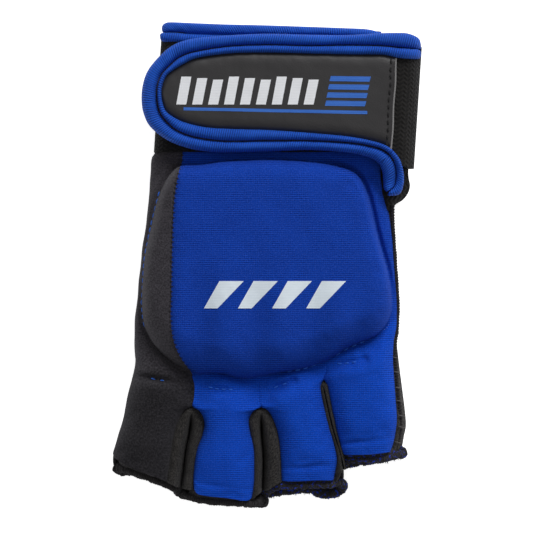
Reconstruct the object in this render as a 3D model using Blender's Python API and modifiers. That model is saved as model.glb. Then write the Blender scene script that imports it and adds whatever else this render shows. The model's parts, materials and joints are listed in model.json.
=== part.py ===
"""Left-hand, half-finger hockey glove with a padded back, lying flat on its palm side.

+Z is up through the back of the hand, +Y runs from the fingers to the cuff, and +X points to the
little-finger side. The origin is on the resting plane below the middle of the glove.
All sizes below are millimetres; MM turns them into metres. Angles are degrees.
"""

import math
from collections import namedtuple

import bmesh
import bpy
from mathutils import Vector

MM = 0.001

# --- driving dimensions -------------------------------------------------------------------------
FABRIC = 1.3  # laminated neoprene and webbing
THIN_FABRIC = 1.0  # gusset and edge strip
GAP = 0.3  # between neighbouring pieces
CENTRE_X, CENTRE_Y = 0.2, 1.66  # the middle of the whole, which becomes the origin

LINING_Z0, LINING_Z1 = 8.0, 9.0
SHEET_Z0 = LINING_Z1 + GAP  # the back cover where it lies flat
SHEET_Z1 = SHEET_Z0 + 1.5
COVER_TOP = 24.0  # top of the cover over the pad
PAD_WALL = 1.7  # the cover's wall round the pad
PAD_TOP = COVER_TOP - PAD_WALL - GAP  # top of the foam block

FOLD_LEFT_X, FOLD_LEFT_R = -32.1, 5.5  # webbing fold on the thumb side
FOLD_RIGHT_X, FOLD_RIGHT_R = 41.4, 7.75  # webbing fold on the little-finger side
WEBBING_LOW_Z = FABRIC / 2  # mid-plane of the webbing's lower layer
WEBBING_HIGH_Z = WEBBING_LOW_Z + 2 * FOLD_LEFT_R  # mid-plane of its layer on the back
STRAP_MID_Z = WEBBING_LOW_Z + 2 * FOLD_RIGHT_R
STRAP_Z0, STRAP_Z1 = STRAP_MID_Z - FABRIC / 2, STRAP_MID_Z + FABRIC / 2


# --- scene and materials ------------------------------------------------------------------------
def clear_scene():
    for obj in list(bpy.data.objects):
        bpy.data.objects.remove(obj)


clear_scene()
parts = bpy.data.collections.new("half_finger_hockey_glove")
cutters = bpy.data.collections.new("cutters")  # boolean operands and tape sections
for collection in (parts, cutters):
    bpy.context.scene.collection.children.link(collection)


def material(name, colour, roughness):
    made = bpy.data.materials.new(name)
    made.use_nodes = True
    shader = made.node_tree.nodes["Principled BSDF"]
    shader.inputs["Base Color"].default_value = colour
    shader.inputs["Roughness"].default_value = roughness
    made.diffuse_color = colour
    return made


BLUE = (0.012, 0.05, 0.33, 1)
BLACK = (0.022, 0.021, 0.024, 1)
NEOPRENE_BLUE = material("neoprene_blue", BLUE, roughness=0.75)
NEOPRENE_BLACK = material("neoprene_black", BLACK, roughness=0.85)
RIBBED_TAPE = material("ribbed_tape_blue", BLUE, roughness=0.6)
WEBBING = material("webbing_black", BLACK, roughness=0.8)
FOAM = material("foam", colour=(0.75, 0.74, 0.70, 1), roughness=0.9)
LINING = material("lining", colour=(0.05, 0.05, 0.055, 1), roughness=0.95)
LABEL = material("coated_label", colour=(0.045, 0.045, 0.05, 1), roughness=0.45)
HOOK_AND_LOOP = material("hook_and_loop", BLACK, roughness=0.95)


# --- plane curves -------------------------------------------------------------------------------
def catmull_rom(p0, p1, p2, p3, steps):
    """Samples of the span from p1 towards p2, without its end."""
    samples = []
    for step in range(steps):
        t = step / steps
        samples.append(
            0.5 * (2 * p1 + (p2 - p0) * t + (2 * p0 - 5 * p1 + 4 * p2 - p3) * t * t
                   + (3 * p1 - p0 - 3 * p2 + p3) * t ** 3)
        )
    return samples


def smooth_closed(points, steps):
    """A closed Catmull-Rom curve through points, with steps samples a span."""
    samples = []
    count = len(points)
    for i in range(count):
        span = [Vector(points[(i + k - 1) % count]) for k in range(4)]
        samples += catmull_rom(*span, steps)
    return samples


def smooth_open(points, steps):
    """An open Catmull-Rom curve; each end is extended by the mirror of its neighbour."""
    knots = [Vector(p) for p in points]
    knots = [2 * knots[0] - knots[1]] + knots + [2 * knots[-1] - knots[-2]]
    samples = []
    for i in range(1, len(knots) - 2):
        samples += catmull_rom(*knots[i - 1:i + 3], steps)
    samples.append(knots[-2])
    return samples


def inset(points, distance):
    """The closed outline moved inwards; the points run clockwise."""
    moved = []
    count = len(points)
    for i in range(count):
        before, here, after = (Vector(points[(i + k) % count]) for k in (-1, 0, 1))
        run_in, run_out = (here - before).normalized(), (after - here).normalized()
        normal = Vector((run_in.y + run_out.y, -run_in.x - run_out.x)).normalized()
        spread = max(0.6, normal.dot(Vector((run_in.y, -run_in.x))))  # limits sharp corners
        moved.append(here + normal * distance / spread)
    return moved


def offset_open(points, distance):
    """The open curve moved to its left by distance, seen along its run."""
    moved = []
    for i, here in enumerate(points):
        before = points[max(i - 1, 0)]
        after = points[min(i + 1, len(points) - 1)]
        run = (after - before).normalized()
        moved.append((here[0] - run.y * distance, here[1] + run.x * distance))
    return moved


def point_on(path, fraction):
    """The point at a fraction of the path, counting every segment as equally long."""
    at = fraction * (len(path) - 1)
    i = min(int(at + 1e-9), len(path) - 2)
    t = at - i
    return tuple(start + (end - start) * t for start, end in zip(path[i], path[i + 1]))


def rectangle(x0, x1, y0, y1):
    return [(x0, y0), (x1, y0), (x1, y1), (x0, y1)]


# --- solids -------------------------------------------------------------------------------------
def add_part(name, data, mat):
    obj = bpy.data.objects.new(name, data)
    parts.objects.link(obj)
    data.materials.append(mat)
    return obj


def add_cutter(name, data):
    obj = bpy.data.objects.new(name, data)
    cutters.objects.link(obj)
    obj.hide_render = True
    obj.display_type = "WIRE"
    return obj


def poly_curve(name, path, dimensions, cyclic):
    """A polyline curve through 2D or 3D points in mm."""
    curve = bpy.data.curves.new(name, "CURVE")
    curve.dimensions = dimensions
    spline = curve.splines.new("POLY")
    spline.points.add(len(path) - 1)
    for point, place in zip(spline.points, path):
        x, y, z = (*place, 0.0)[:3]
        point.co = (x * MM, y * MM, z * MM, 1)
    spline.use_cyclic_u = cyclic
    return curve


def recalc_normals(mesh, weld=False):
    work = bmesh.new()
    work.from_mesh(mesh)
    if weld:
        bmesh.ops.remove_doubles(work, verts=work.verts, dist=2e-6)
        bmesh.ops.dissolve_degenerate(work, edges=work.edges, dist=1e-7)
    bmesh.ops.recalc_face_normals(work, faces=work.faces)
    work.to_mesh(mesh)
    work.free()


def closed_mesh(name, curve, height=0.0):
    """The curve's surface as a welded mesh, raised by height in mm."""
    holder = bpy.data.objects.new(name + "_curve", curve)
    holder.location.z = height * MM
    bpy.context.scene.collection.objects.link(holder)
    bpy.context.view_layer.update()
    graph = bpy.context.evaluated_depsgraph_get()
    mesh = bpy.data.meshes.new_from_object(holder.evaluated_get(graph))
    mesh.transform(holder.matrix_world)
    bpy.data.objects.remove(holder)
    recalc_normals(mesh, weld=True)
    mesh.name = name
    return mesh


def outline_mesh(name, outline, z0, z1):
    """A prism over a flat outline, from z0 to z1."""
    curve = poly_curve(name, outline, "2D", cyclic=True)
    curve.fill_mode = "BOTH"
    curve.extrude = (z1 - z0) / 2 * MM
    return closed_mesh(name, curve, (z0 + z1) / 2)


def rounded_mesh(name, outline, z0, z1, radius, segments):
    """A prism with its top edge rounded over."""
    mesh = outline_mesh(name, outline, z0, z1)
    work = bmesh.new()
    work.from_mesh(mesh)
    bmesh.ops.dissolve_limit(
        work, angle_limit=math.radians(0.5), verts=work.verts, edges=work.edges
    )
    top = [
        edge for edge in work.edges
        if all(abs(vert.co.z - z1 * MM) < 1e-6 for vert in edge.verts)
        and any(abs(face.normal.z) < 0.5 for face in edge.link_faces)
    ]
    bmesh.ops.bevel(
        work, geom=top, offset=radius * MM, segments=segments, profile=0.5,
        affect="EDGES", clamp_overlap=True,
    )
    work.to_mesh(mesh)
    work.free()
    return mesh


def slab(name, outline, z0, z1, mat):
    return add_part(name, outline_mesh(name, outline, z0, z1), mat)


def boolean(obj, operation, other):
    modifier = obj.modifiers.new(operation.lower(), "BOOLEAN")
    modifier.operation = operation
    modifier.solver = "EXACT"
    modifier.object = other


def sheet(name, columns, rows, place, thickness, mat):
    """A grid put in mm by place(run, drop), both from 0 to 1, and thickened about itself."""
    work = bmesh.new()
    bmesh.ops.create_grid(work, x_segments=columns, y_segments=rows, size=0.5)
    for vert in work.verts:
        vert.co = Vector(place(vert.co.x + 0.5, vert.co.y + 0.5)) * MM
    mesh = bpy.data.meshes.new(name)
    work.to_mesh(mesh)
    work.free()
    obj = add_part(name, mesh, mat)
    solidify = obj.modifiers.new("thickness", "SOLIDIFY")
    solidify.thickness = thickness * MM
    solidify.offset = 0.0
    solidify.use_even_offset = True


def closed_cord(name, path, radius, mat):
    curve = poly_curve(name, path, "3D", cyclic=True)
    curve.bevel_depth = radius * MM
    curve.bevel_resolution = 1
    add_part(name, curve, mat)


def taped(name, path, profile, mat):
    """A profile of (inwards, up) points swept along a path, with closed ends.

    Inwards is to the left of the path's run.
    """
    section = poly_curve(
        name + "_section", [(-inwards, up) for inwards, up in profile], "2D", cyclic=True
    )
    curve = poly_curve(name, path, "3D", cyclic=False)
    curve.twist_mode = "Z_UP"
    curve.bevel_mode = "OBJECT"
    curve.bevel_object = add_cutter(name + "_section", section)
    curve.use_fill_caps = True
    add_part(name, closed_mesh(name, curve), mat)


def edging(half_slot):
    """The (inwards, up) section of a binding tape folded over an edge.

    It has two ridges on top and a short leg underneath.
    """
    top = [
        (0.0, 0.0), (0.15, half_slot * 0.8), (0.6, half_slot + 0.6), (1.7, half_slot + 1.05),
        (2.8, half_slot + 0.8), (3.3, half_slot + 0.4), (3.9, half_slot + 0.75),
        (4.7, half_slot + 0.9), (5.5, half_slot + 0.65), (5.8, half_slot + 0.1),
        (5.8, half_slot), (1.3, half_slot),
    ]
    under = [
        (1.3, -half_slot), (4.0, -half_slot), (4.0, -half_slot - 0.6),
        (3.4, -half_slot - 0.85), (1.2, -half_slot - 0.8), (0.4, -half_slot - 0.3),
    ]
    return top + under


# --- back of the hand ---------------------------------------------------------------------------
# Outlines are (x, y), clockwise seen from above.
# The back cover, from the cuff's thumb-side corner.
BACK_OUTLINE = [
    (-31.4, 78.3), (37.5, 78.3), (38.0, 39.0), (38.5, 33.0), (39.2, 27.0), (41.0, 20.0),
    (42.0, 12.0), (43.0, 0.0), (43.8, -10.0), (43.6, -18.0), (42.6, -24.0), (42.2, -27.9),
    (31.0, -28.6), (20.6, -30.6), (16.8, -35.4), (7.5, -36.4), (-3.0, -38.0), (-13.3, -37.6),
    (-23.0, -36.6), (-33.8, -34.8), (-43.2, -33.4), (-43.4, -26.0), (-43.5, -18.0),
    (-42.6, -8.0), (-41.2, 6.0), (-39.2, 19.0), (-38.2, 31.0), (-37.2, 36.6), (-34.0, 38.4),
]
# The raised block over the pad.
PAD_OUTLINE = [
    (-28.3, 34.6), (-14.7, 36.1), (-1.0, 36.8), (11.5, 36.3), (23.3, 34.6), (29.2, 32.4),
    (32.9, 27.8), (35.3, 19.3), (37.3, 10.0), (39.5, 2.0), (41.2, -4.6), (41.5, -11.0),
    (40.0, -17.6), (36.2, -21.8), (30.3, -24.3), (24.0, -27.2), (18.4, -30.6), (9.2, -33.2),
    (-1.0, -35.0), (-7.0, -35.7), (-14.0, -34.4), (-22.6, -34.2), (-28.6, -31.8),
    (-35.0, -26.9), (-39.2, -21.4), (-41.0, -13.5), (-40.9, -1.0), (-39.6, 9.0),
    (-37.2, 19.3), (-34.4, 27.6),
]
# The seam (x, y) between the black side panel and the blue back cover, cuff to finger root.
# Its ends stand beyond the glove.
SEAM_END_Y, SEAM_START_Y = -50.0, 90.0
SEAM = [
    (-26.0, SEAM_START_Y), (-27.7, 39.0), (-28.7, 33.0), (-30.4, 22.0), (-30.9, 6.0),
    (-31.1, -7.0), (-31.2, -17.0), (-30.3, -23.0), (-28.1, -29.0), (-24.2, -34.6),
    (-23.4, SEAM_END_Y),
]
REGION_REACH = 80.0  # how far in X each side of the seam is kept
REGION_Z = (2, 40)
RAISE_EMBED = 0.2  # how far the raised block starts above the sheet's underside
HOLLOW_BELOW = 2  # how far the hollow reaches below the sheet
PAD_CLEARANCE = GAP + 0.1  # between the foam and the cover's wall
LINING_INSET = 1.2

# The gusset's upper edge on the thumb side (x, y), cuff to fingers.
GUSSET_EDGE = [
    (-37.4, 36.6), (-38.6, 28.0), (-39.6, 18.0), (-41.4, 6.0), (-42.8, -8.0), (-43.6, -18.0),
    (-43.6, -29.6),
]
GUSSET_CENTRE_IN = 3.4  # the bend's centre, inwards from the edge
GUSSET_CENTRE_Z = 3.85
GUSSET_RADIUS_X, GUSSET_RADIUS_Z = 4.1, 3.2
GUSSET_START, GUSSET_SWEEP = 112, 158  # the bend's angles
GUSSET_BEND_SHARE = 0.8  # share of the gusset's rows in the bend
GUSSET_FLAT = 9.5  # width of the flat part on the palm side

# The strip's upper edge on the little-finger side (x, y), cuff to fingers.
STRIP_EDGE = [
    (38.2, 18.6), (40.6, 12.0), (41.8, 0.0), (42.6, -10.0), (42.4, -18.0), (41.4, -24.4),
]
STRIP_TOP_Z, STRIP_DROP, STRIP_BULGE = 7.2, 5.8, 0.9

# The strip across the palm side at the finger roots (x, y).
PALM_BAND_OUTLINE = [
    (-29.6, -19.0), (40.4, -14.0), (39.2, -22.6), (18.0, -27.0), (7.4, -29.6),
    (-13.3, -30.4), (-26.5, -29.0),
]


def build_cover_half(name, side, mat):
    """The padded cover on one side of the seam: side is 1 towards +X, -1 towards -X."""
    pad = smooth_closed(PAD_OUTLINE, 2)
    cover = slab(name, BACK_OUTLINE, SHEET_Z0, SHEET_Z1, mat)
    raised = rounded_mesh(
        name + "_raise", pad, SHEET_Z0 + RAISE_EMBED, COVER_TOP, radius=5.5, segments=3
    )
    hollow = rounded_mesh(
        name + "_hollow", inset(pad, PAD_WALL), SHEET_Z0 - HOLLOW_BELOW, COVER_TOP - PAD_WALL,
        radius=4.4, segments=3,
    )
    edge = [(p.x + side * GAP / 2, p.y) for p in smooth_open(SEAM, 2)]
    far = side * REGION_REACH
    region = outline_mesh(
        name + "_region", edge + [(far, SEAM_END_Y), (far, SEAM_START_Y)], *REGION_Z
    )
    boolean(cover, "UNION", add_cutter(name + "_raise", raised))
    boolean(cover, "DIFFERENCE", add_cutter(name + "_hollow", hollow))
    boolean(cover, "INTERSECT", add_cutter(name + "_region", region))


def build_back_filling():
    foam_outline = inset(smooth_closed(PAD_OUTLINE, 1), PAD_WALL + PAD_CLEARANCE)
    foam = rounded_mesh(
        "back_foam_pad", foam_outline, LINING_Z1 + GAP, PAD_TOP, radius=4.0, segments=2
    )
    add_part("back_foam_pad", foam, FOAM)
    slab("back_lining", inset(BACK_OUTLINE, LINING_INSET), LINING_Z0, LINING_Z1, LINING)


def build_thumb_gusset():
    """From under the cover's thumb-side edge, round and onto the palm side."""
    edge = smooth_open(GUSSET_EDGE, 2)

    def place(run, drop):
        x, y = point_on(edge, run)
        x += GUSSET_CENTRE_IN
        if drop < GUSSET_BEND_SHARE:
            angle = math.radians(GUSSET_START + GUSSET_SWEEP * drop / GUSSET_BEND_SHARE)
            return (
                x + GUSSET_RADIUS_X * math.cos(angle), y,
                GUSSET_CENTRE_Z + GUSSET_RADIUS_Z * math.sin(angle),
            )
        flat = GUSSET_FLAT * (drop - GUSSET_BEND_SHARE) / (1 - GUSSET_BEND_SHARE)
        return (x + flat, y, GUSSET_CENTRE_Z - GUSSET_RADIUS_Z)

    sheet("thumb_gusset", 8, 7, place, THIN_FABRIC, NEOPRENE_BLACK)


def build_outer_strip():
    """The strip that hangs below the cover's edge on the little-finger side."""
    edge = smooth_open(STRIP_EDGE, 2)

    def place(run, drop):
        x, y = point_on(edge, run)
        return (x + STRIP_BULGE * math.sin(drop * math.pi), y, STRIP_TOP_Z - STRIP_DROP * drop)

    sheet("outer_edge_strip", 8, 3, place, THIN_FABRIC, NEOPRENE_BLACK)


def build_back():
    build_cover_half("back_cover", 1, NEOPRENE_BLUE)
    build_cover_half("side_panel", -1, NEOPRENE_BLACK)
    build_back_filling()
    build_thumb_gusset()
    build_outer_strip()
    slab("palm_band", PALM_BAND_OUTLINE, 0.0, FABRIC, NEOPRENE_BLACK)


# --- cuff ---------------------------------------------------------------------------------------
CUFF_LEAN = 0.065  # the cuff leans this much in X for each mm of Y
CUFF_MID_Y = 58.0
# Both long edges of the webbing slope across the cuff, falling in Y over its width in X.
CUFF_X0, CUFF_WIDTH = -37.0, 87.0
CUFF_FINGER_SIDE_Y, CUFF_FINGER_SIDE_FALL = 39.0, 5.0
CUFF_END_Y, CUFF_END_FALL = 76.3, 1.8
UPPER_WEBBING_Y = 39.4  # finger-side edge of the webbing above UPPER_WEBBING_Z
UPPER_WEBBING_Z = 11

LOOP_PATCH_Z = (12.7, 13.9)
CUFF_BINDING_Z = 9.4
CUFF_BINDING_HALF_SLOT = 1.7
CUFF_BINDING_PATH = [  # (x, y)
    (39.2, 81.6), (28.0, 82.0), (10.0, 82.3), (-10.0, 82.6), (-26.0, 82.9), (-33.2, 82.6),
]
SLIT_GUSSET_OUTLINE = [  # (x, y)
    (42.6, 31.2), (47.3, 31.6), (48.0, 28.6), (47.2, 25.8), (45.4, 23.2), (43.6, 21.6),
    (42.4, 23.4),
]
SLIT_GUSSET_Z = (4.6, 6.0)
SLIT_BINDING_Z = 12.7
SLIT_BINDING_PATH = [(41.6, 25.2), (42.4, 28.0), (42.0, 31.2), (40.6, 34.4), (37.8, 37.2)]
SLIT_BINDING_PROFILE = [  # (inwards, up): a flat tape with two ridges
    (-2.9, -0.9), (-2.9, 0.3), (-2.3, 0.8), (-1.1, 1.1), (0.1, 0.75), (0.5, 0.55),
    (1.0, 0.8), (1.9, 0.95), (2.7, 0.6), (2.9, 0.1), (2.9, -0.9),
]


def cuff_x(x, y):
    """A place in the cuff, which leans with Y."""
    return x + CUFF_LEAN * (y - CUFF_MID_Y)


def cuff_patch(x0, x1, y0, y1):
    """A rectangle sheared with the cuff's lean."""
    return [(cuff_x(x, y), y) for x, y in rectangle(x0, x1, y0, y1)]


def cuff_finger_side(x):
    return CUFF_FINGER_SIDE_Y - CUFF_FINGER_SIDE_FALL * (x - CUFF_X0) / CUFF_WIDTH


def cuff_end(x):
    return CUFF_END_Y - CUFF_END_FALL * (x - CUFF_X0) / CUFF_WIDTH


def fold_point(centre_x, radius, degrees):
    """An (x, z) place on a webbing fold that rests on the lower layer's mid-plane."""
    angle = math.radians(degrees)
    return (
        centre_x + radius * math.cos(angle),
        WEBBING_LOW_Z + radius + radius * math.sin(angle),
    )


def fold_arc(centre_x, radius, start, end, steps):
    return [
        fold_point(centre_x, radius, start + (end - start) * k / steps)
        for k in range(steps + 1)
    ]


def build_wrist_webbing():
    """From the back of the cuff, round the thumb side and the palm side to the strap's hinge."""
    path = [(31.0, WEBBING_HIGH_Z), (0.0, WEBBING_HIGH_Z)]  # (x, z)
    path += fold_arc(FOLD_LEFT_X, FOLD_LEFT_R, 90, 270, 8)
    path.append((6.0, WEBBING_LOW_Z))
    path += fold_arc(FOLD_RIGHT_X, FOLD_RIGHT_R, -90, -14, 4)

    def place(run, rise):
        x, z = point_on(path, run)
        low = UPPER_WEBBING_Y if z > UPPER_WEBBING_Z else cuff_finger_side(x)
        y = low + (cuff_end(x) - low) * rise
        return (cuff_x(x, y), y, z)

    sheet("wrist_webbing", len(path) - 1, 1, place, FABRIC, WEBBING)


def build_cuff():
    build_wrist_webbing()
    slab("loop_patch", cuff_patch(-30, 20, 44.5, 73.5), *LOOP_PATCH_Z, HOOK_AND_LOOP)
    taped(
        "cuff_binding", [(x, y, CUFF_BINDING_Z) for x, y in CUFF_BINDING_PATH],
        edging(CUFF_BINDING_HALF_SLOT), RIBBED_TAPE,
    )
    slab("slit_gusset", SLIT_GUSSET_OUTLINE, *SLIT_GUSSET_Z, WEBBING)
    taped(
        "slit_binding", [(x, y, SLIT_BINDING_Z) for x, y in smooth_open(SLIT_BINDING_PATH, 3)],
        SLIT_BINDING_PROFILE, RIBBED_TAPE,
    )


# --- strap --------------------------------------------------------------------------------------
# The tongue's outer edge (x, y): from the fold along the cuff end, round the rounded thumb-side
# end and back along the edge nearer the fingers.
TONGUE_EDGE = [
    (40.0, 78.0), (27.0, 78.3), (14.0, 78.5), (0.8, 78.6), (-12.4, 78.4), (-25.6, 77.4),
    (-32.4, 75.6), (-37.0, 72.4), (-40.2, 67.0), (-41.2, 60.0), (-40.9, 55.4), (-39.4, 50.4),
    (-36.4, 46.0), (-31.8, 42.6), (-25.6, 40.2), (-19.0, 39.3), (-5.8, 39.2), (14.0, 39.5),
    (27.2, 38.5), (35.6, 36.3),
]
STRAP_FOLD_END_X = 38.2  # where the folded webbing stops above the cuff
STRAP_FOLD_IN = 0.4  # its finger-side edge, in from the wrist webbing's
STRAP_FOLD_END_Y = 76.0
BASE_INSET, BASE_LIMIT_X, BASE_END_X = 1.6, 36.6, 36.8
LABEL_INSET, LABEL_LIMIT_X = 6.2, 37.5
LABEL_END_X = 42.4  # the label's cuff-end corner
LABEL_CORNER = (40.4, 39.8)  # its finger-side corner
PATCH_THICKNESS = 1.0  # hook patch and label
BINDING_FOLD_ANGLES = (14, 28.5, 49, 69.5, 85)  # stations of the binding over the fold
BINDING_FOLD_Y, BINDING_FOLD_LEAN_Y = 77.8, 74


def build_strap_webbing():
    fold = fold_arc(FOLD_RIGHT_X, FOLD_RIGHT_R, 8, 90, 4) + [(STRAP_FOLD_END_X, STRAP_MID_Z)]

    def place(run, rise):
        x, z = point_on(fold, run)
        low = cuff_finger_side(x) + STRAP_FOLD_IN
        y = low + (STRAP_FOLD_END_Y - low) * rise
        return (cuff_x(x, y), y, z)

    sheet("strap_webbing", len(fold) - 1, 1, place, FABRIC, WEBBING)


def build_strap_binding(edge):
    """Tape over the fold and all round the tongue's edge."""
    path = []
    for degrees in BINDING_FOLD_ANGLES:
        x, z = fold_point(FOLD_RIGHT_X, FOLD_RIGHT_R, degrees)
        path.append((cuff_x(x, BINDING_FOLD_LEAN_Y), BINDING_FOLD_Y, z))
    path += [(x, y, STRAP_MID_Z) for x, y in edge]
    taped("strap_binding", path, edging(FABRIC / 2 + GAP), RIBBED_TAPE)


def build_strap():
    build_strap_webbing()
    edge = smooth_open(TONGUE_EDGE, 2)
    base = [p for p in offset_open(edge, BASE_INSET) if p[0] < BASE_LIMIT_X]
    slab(
        "tongue_base", [(BASE_END_X, base[0][1])] + base + [(BASE_END_X, base[-1][1])],
        STRAP_Z0, STRAP_Z1, NEOPRENE_BLACK,
    )
    hook_top = STRAP_Z0 - GAP
    slab(
        "hook_patch", cuff_patch(-28, -4, 47, 71), hook_top - PATCH_THICKNESS, hook_top,
        HOOK_AND_LOOP,
    )
    label = [p for p in offset_open(edge, LABEL_INSET) if p[0] < LABEL_LIMIT_X]
    label_bottom = STRAP_Z1 + GAP
    slab(
        "strap_label", [(LABEL_END_X, label[0][1])] + label + [LABEL_CORNER],
        label_bottom, label_bottom + PATCH_THICKNESS, LABEL,
    )
    build_strap_binding(edge)


# --- fingers ------------------------------------------------------------------------------------
# Widths are at the hinge and at the open end; lean is from -Y towards +X.
Finger = namedtuple(
    "Finger",
    "hinge lean back_length palm_length back_width back_end_width palm_width palm_end_width",
)
FINGERS = {
    "index": Finger((-33.6, -36.2), -12.5, 31.5, 34.0, 19.4, 19.6, 19.4, 21.4),
    "middle": Finger((-13.3, -39.0), -2.0, 34.8, 38.2, 18.8, 19.4, 18.6, 24.6),
    "ring": Finger((7.4, -37.6), 10.0, 33.0, 36.6, 19.4, 18.4, 19.2, 23.0),
    "little": Finger((30.8, -30.4), 5.5, 31.0, 33.6, 22.4, 17.4, 22.0, 20.2),
}
# Across a finger, places are in shares of its width: HALF reaches from the middle to a side.
HALF = 10.0
BACK_SIZE_Z = 10.0  # from here up a finger has its back's length and width
ROOT_GAP = 1.0  # between the hinge and the pieces on the back
PALM_ROOT_GAP = 3.2
END = 0.985  # share of the length where the cloth stops
PAD_END = 0.9
FOURCHETTE_START = 0.14
FINGER_TOP = 17.2
FINGER_PAD_TOP = 15.5
PALM_THICKNESS = 1.2
END_CORD_RADIUS = 1.2
END_CORD_OUT = 1.15  # how far the cord's middle stands beyond the finger's end
END_CORD_LOOP = [  # (across, z)
    (-8.6, 1.3), (-3, 1.3), (3, 1.3), (8.6, 1.3), (9.2, 4.5), (9.3, 8.5), (9.0, 12.6),
    (6.4, 15.6), (0, 16.0), (-6.4, 15.6), (-9.0, 12.6), (-9.3, 8.5), (-9.2, 4.5),
]


def finger_place(size, across, share, z, beyond=0.0):
    """The place in the glove at a share of the finger's length, plus beyond in mm."""
    lean = math.radians(size.lean)
    forward = Vector((math.sin(lean), -math.cos(lean)))
    sideways = Vector((math.cos(lean), math.sin(lean)))
    high = min(1.0, max(0.0, z / BACK_SIZE_Z))
    high = high * high * (3 - 2 * high)  # smooth change from palm to back
    palm_width = size.palm_width + (size.palm_end_width - size.palm_width) * share
    back_width = size.back_width + (size.back_end_width - size.back_width) * share
    width = palm_width * (1 - high) + back_width * high
    length = size.palm_length * (1 - high) + size.back_length * high
    point = (
        Vector(size.hinge) + forward * (share * length + beyond)
        + sideways * (across / (2 * HALF) * width)
    )
    return (point.x, point.y, z)


def finger_prism(name, size, profile, start, end, mat):
    """A profile in (across, z), extruded along the finger and fitted to its taper."""
    mesh = outline_mesh(name, profile, 0, 1)
    for vert in mesh.vertices:
        across, z, t = vert.co / MM
        vert.co = Vector(finger_place(size, across, start + (end - start) * t, z)) * MM
    recalc_normals(mesh)
    add_part(name, mesh, mat)


def arch(half, z0, z1, radius, steps=3):
    """An arch from (-half, z0) over the top at z1 to (half, z0), with rounded shoulders."""
    left = [(-half, z0)]
    for k in range(steps + 1):
        angle = math.pi / 2 * k / steps
        left.append((
            -half + radius - radius * math.cos(angle),
            z1 - radius + radius * math.sin(angle),
        ))
    return left + [(-x, z) for x, z in reversed(left)]


def build_finger(finger, cloth):
    size = FINGERS[finger]
    start = ROOT_GAP / size.back_length
    outer = arch(HALF, SHEET_Z0, FINGER_TOP, radius=4.6)
    inner = arch(8.7, SHEET_Z0, FINGER_TOP - FABRIC, radius=3.6)
    pad = arch(8.3, SHEET_Z0, FINGER_PAD_TOP, radius=3.4)
    lining = rectangle(-8.6, 8.6, LINING_Z0, LINING_Z1)
    palm = rectangle(-HALF, HALF, 0, PALM_THICKNESS)
    palm_start = PALM_ROOT_GAP / size.palm_length
    finger_prism(f"{finger}_cover", size, outer + inner[::-1], start, END, cloth)
    finger_prism(f"{finger}_pad", size, pad, start * 2, PAD_END, FOAM)
    finger_prism(f"{finger}_lining", size, lining, start, END, LINING)
    finger_prism(f"{finger}_palm", size, palm, palm_start, END, NEOPRENE_BLACK)
    for side, sign in (("thumb_side", -1), ("outer_side", 1)):
        finger_prism(
            f"{finger}_fourchette_{side}", size, rectangle(9.0 * sign, HALF * sign, 1.6, 8.9),
            FOURCHETTE_START, END, NEOPRENE_BLACK,
        )
    loop = [finger_place(size, across, 1.0, z, END_CORD_OUT) for across, z in END_CORD_LOOP]
    closed_cord(f"{finger}_end_binding", loop, END_CORD_RADIUS, NEOPRENE_BLACK)


# --- joints and placing -------------------------------------------------------------------------
HINGE_Z = 5.5  # flex axis of every finger
AXES = {"strap": (FOLD_RIGHT_X + FOLD_RIGHT_R + 0.55, 55.0, 8.2)}
AXES.update({name: (*size.hinge, HINGE_Z) for name, size in FINGERS.items()})
# A piece's group is the first word of its name, except for these.
OTHER_STRAP_PIECES = ("tongue_base", "hook_patch")


def place_pieces():
    """Centres the glove and hangs every moving group from an empty on its joint's axis."""
    pieces = list(parts.objects) + list(cutters.objects)
    middle = Vector((CENTRE_X, CENTRE_Y, 0.0))
    pivots = {}
    for group, axis in AXES.items():
        pivots[group] = bpy.data.objects.new(group + "_axis", None)
        pivots[group].location = (Vector(axis) - middle) * MM
        parts.objects.link(pivots[group])
    for piece in pieces:
        piece.location = -middle * MM
        group = "strap" if piece.name in OTHER_STRAP_PIECES else piece.name.split("_")[0]
        if group in pivots:
            piece.location -= pivots[group].location
            piece.parent = pivots[group]


def shade_parts():
    for part in parts.objects:
        if part.type == "MESH":
            part.data.shade_smooth()
            part.data.set_sharp_from_angle(angle=math.radians(40))


build_back()
build_cuff()
build_strap()
for finger_name in FINGERS:
    build_finger(finger_name, NEOPRENE_BLACK if finger_name == "index" else NEOPRENE_BLUE)
place_pieces()
shade_parts()
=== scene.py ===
"""Looks of a left-hand, half-finger hockey glove lying palm down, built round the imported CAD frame.

The pieces are drawn in millimetres on a sheet whose middle-finger hinge is at DRAWN_HINGE, and the frame's own
hinge says where that sheet lies. z is the height above the table.
"""

import json
import math

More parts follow.
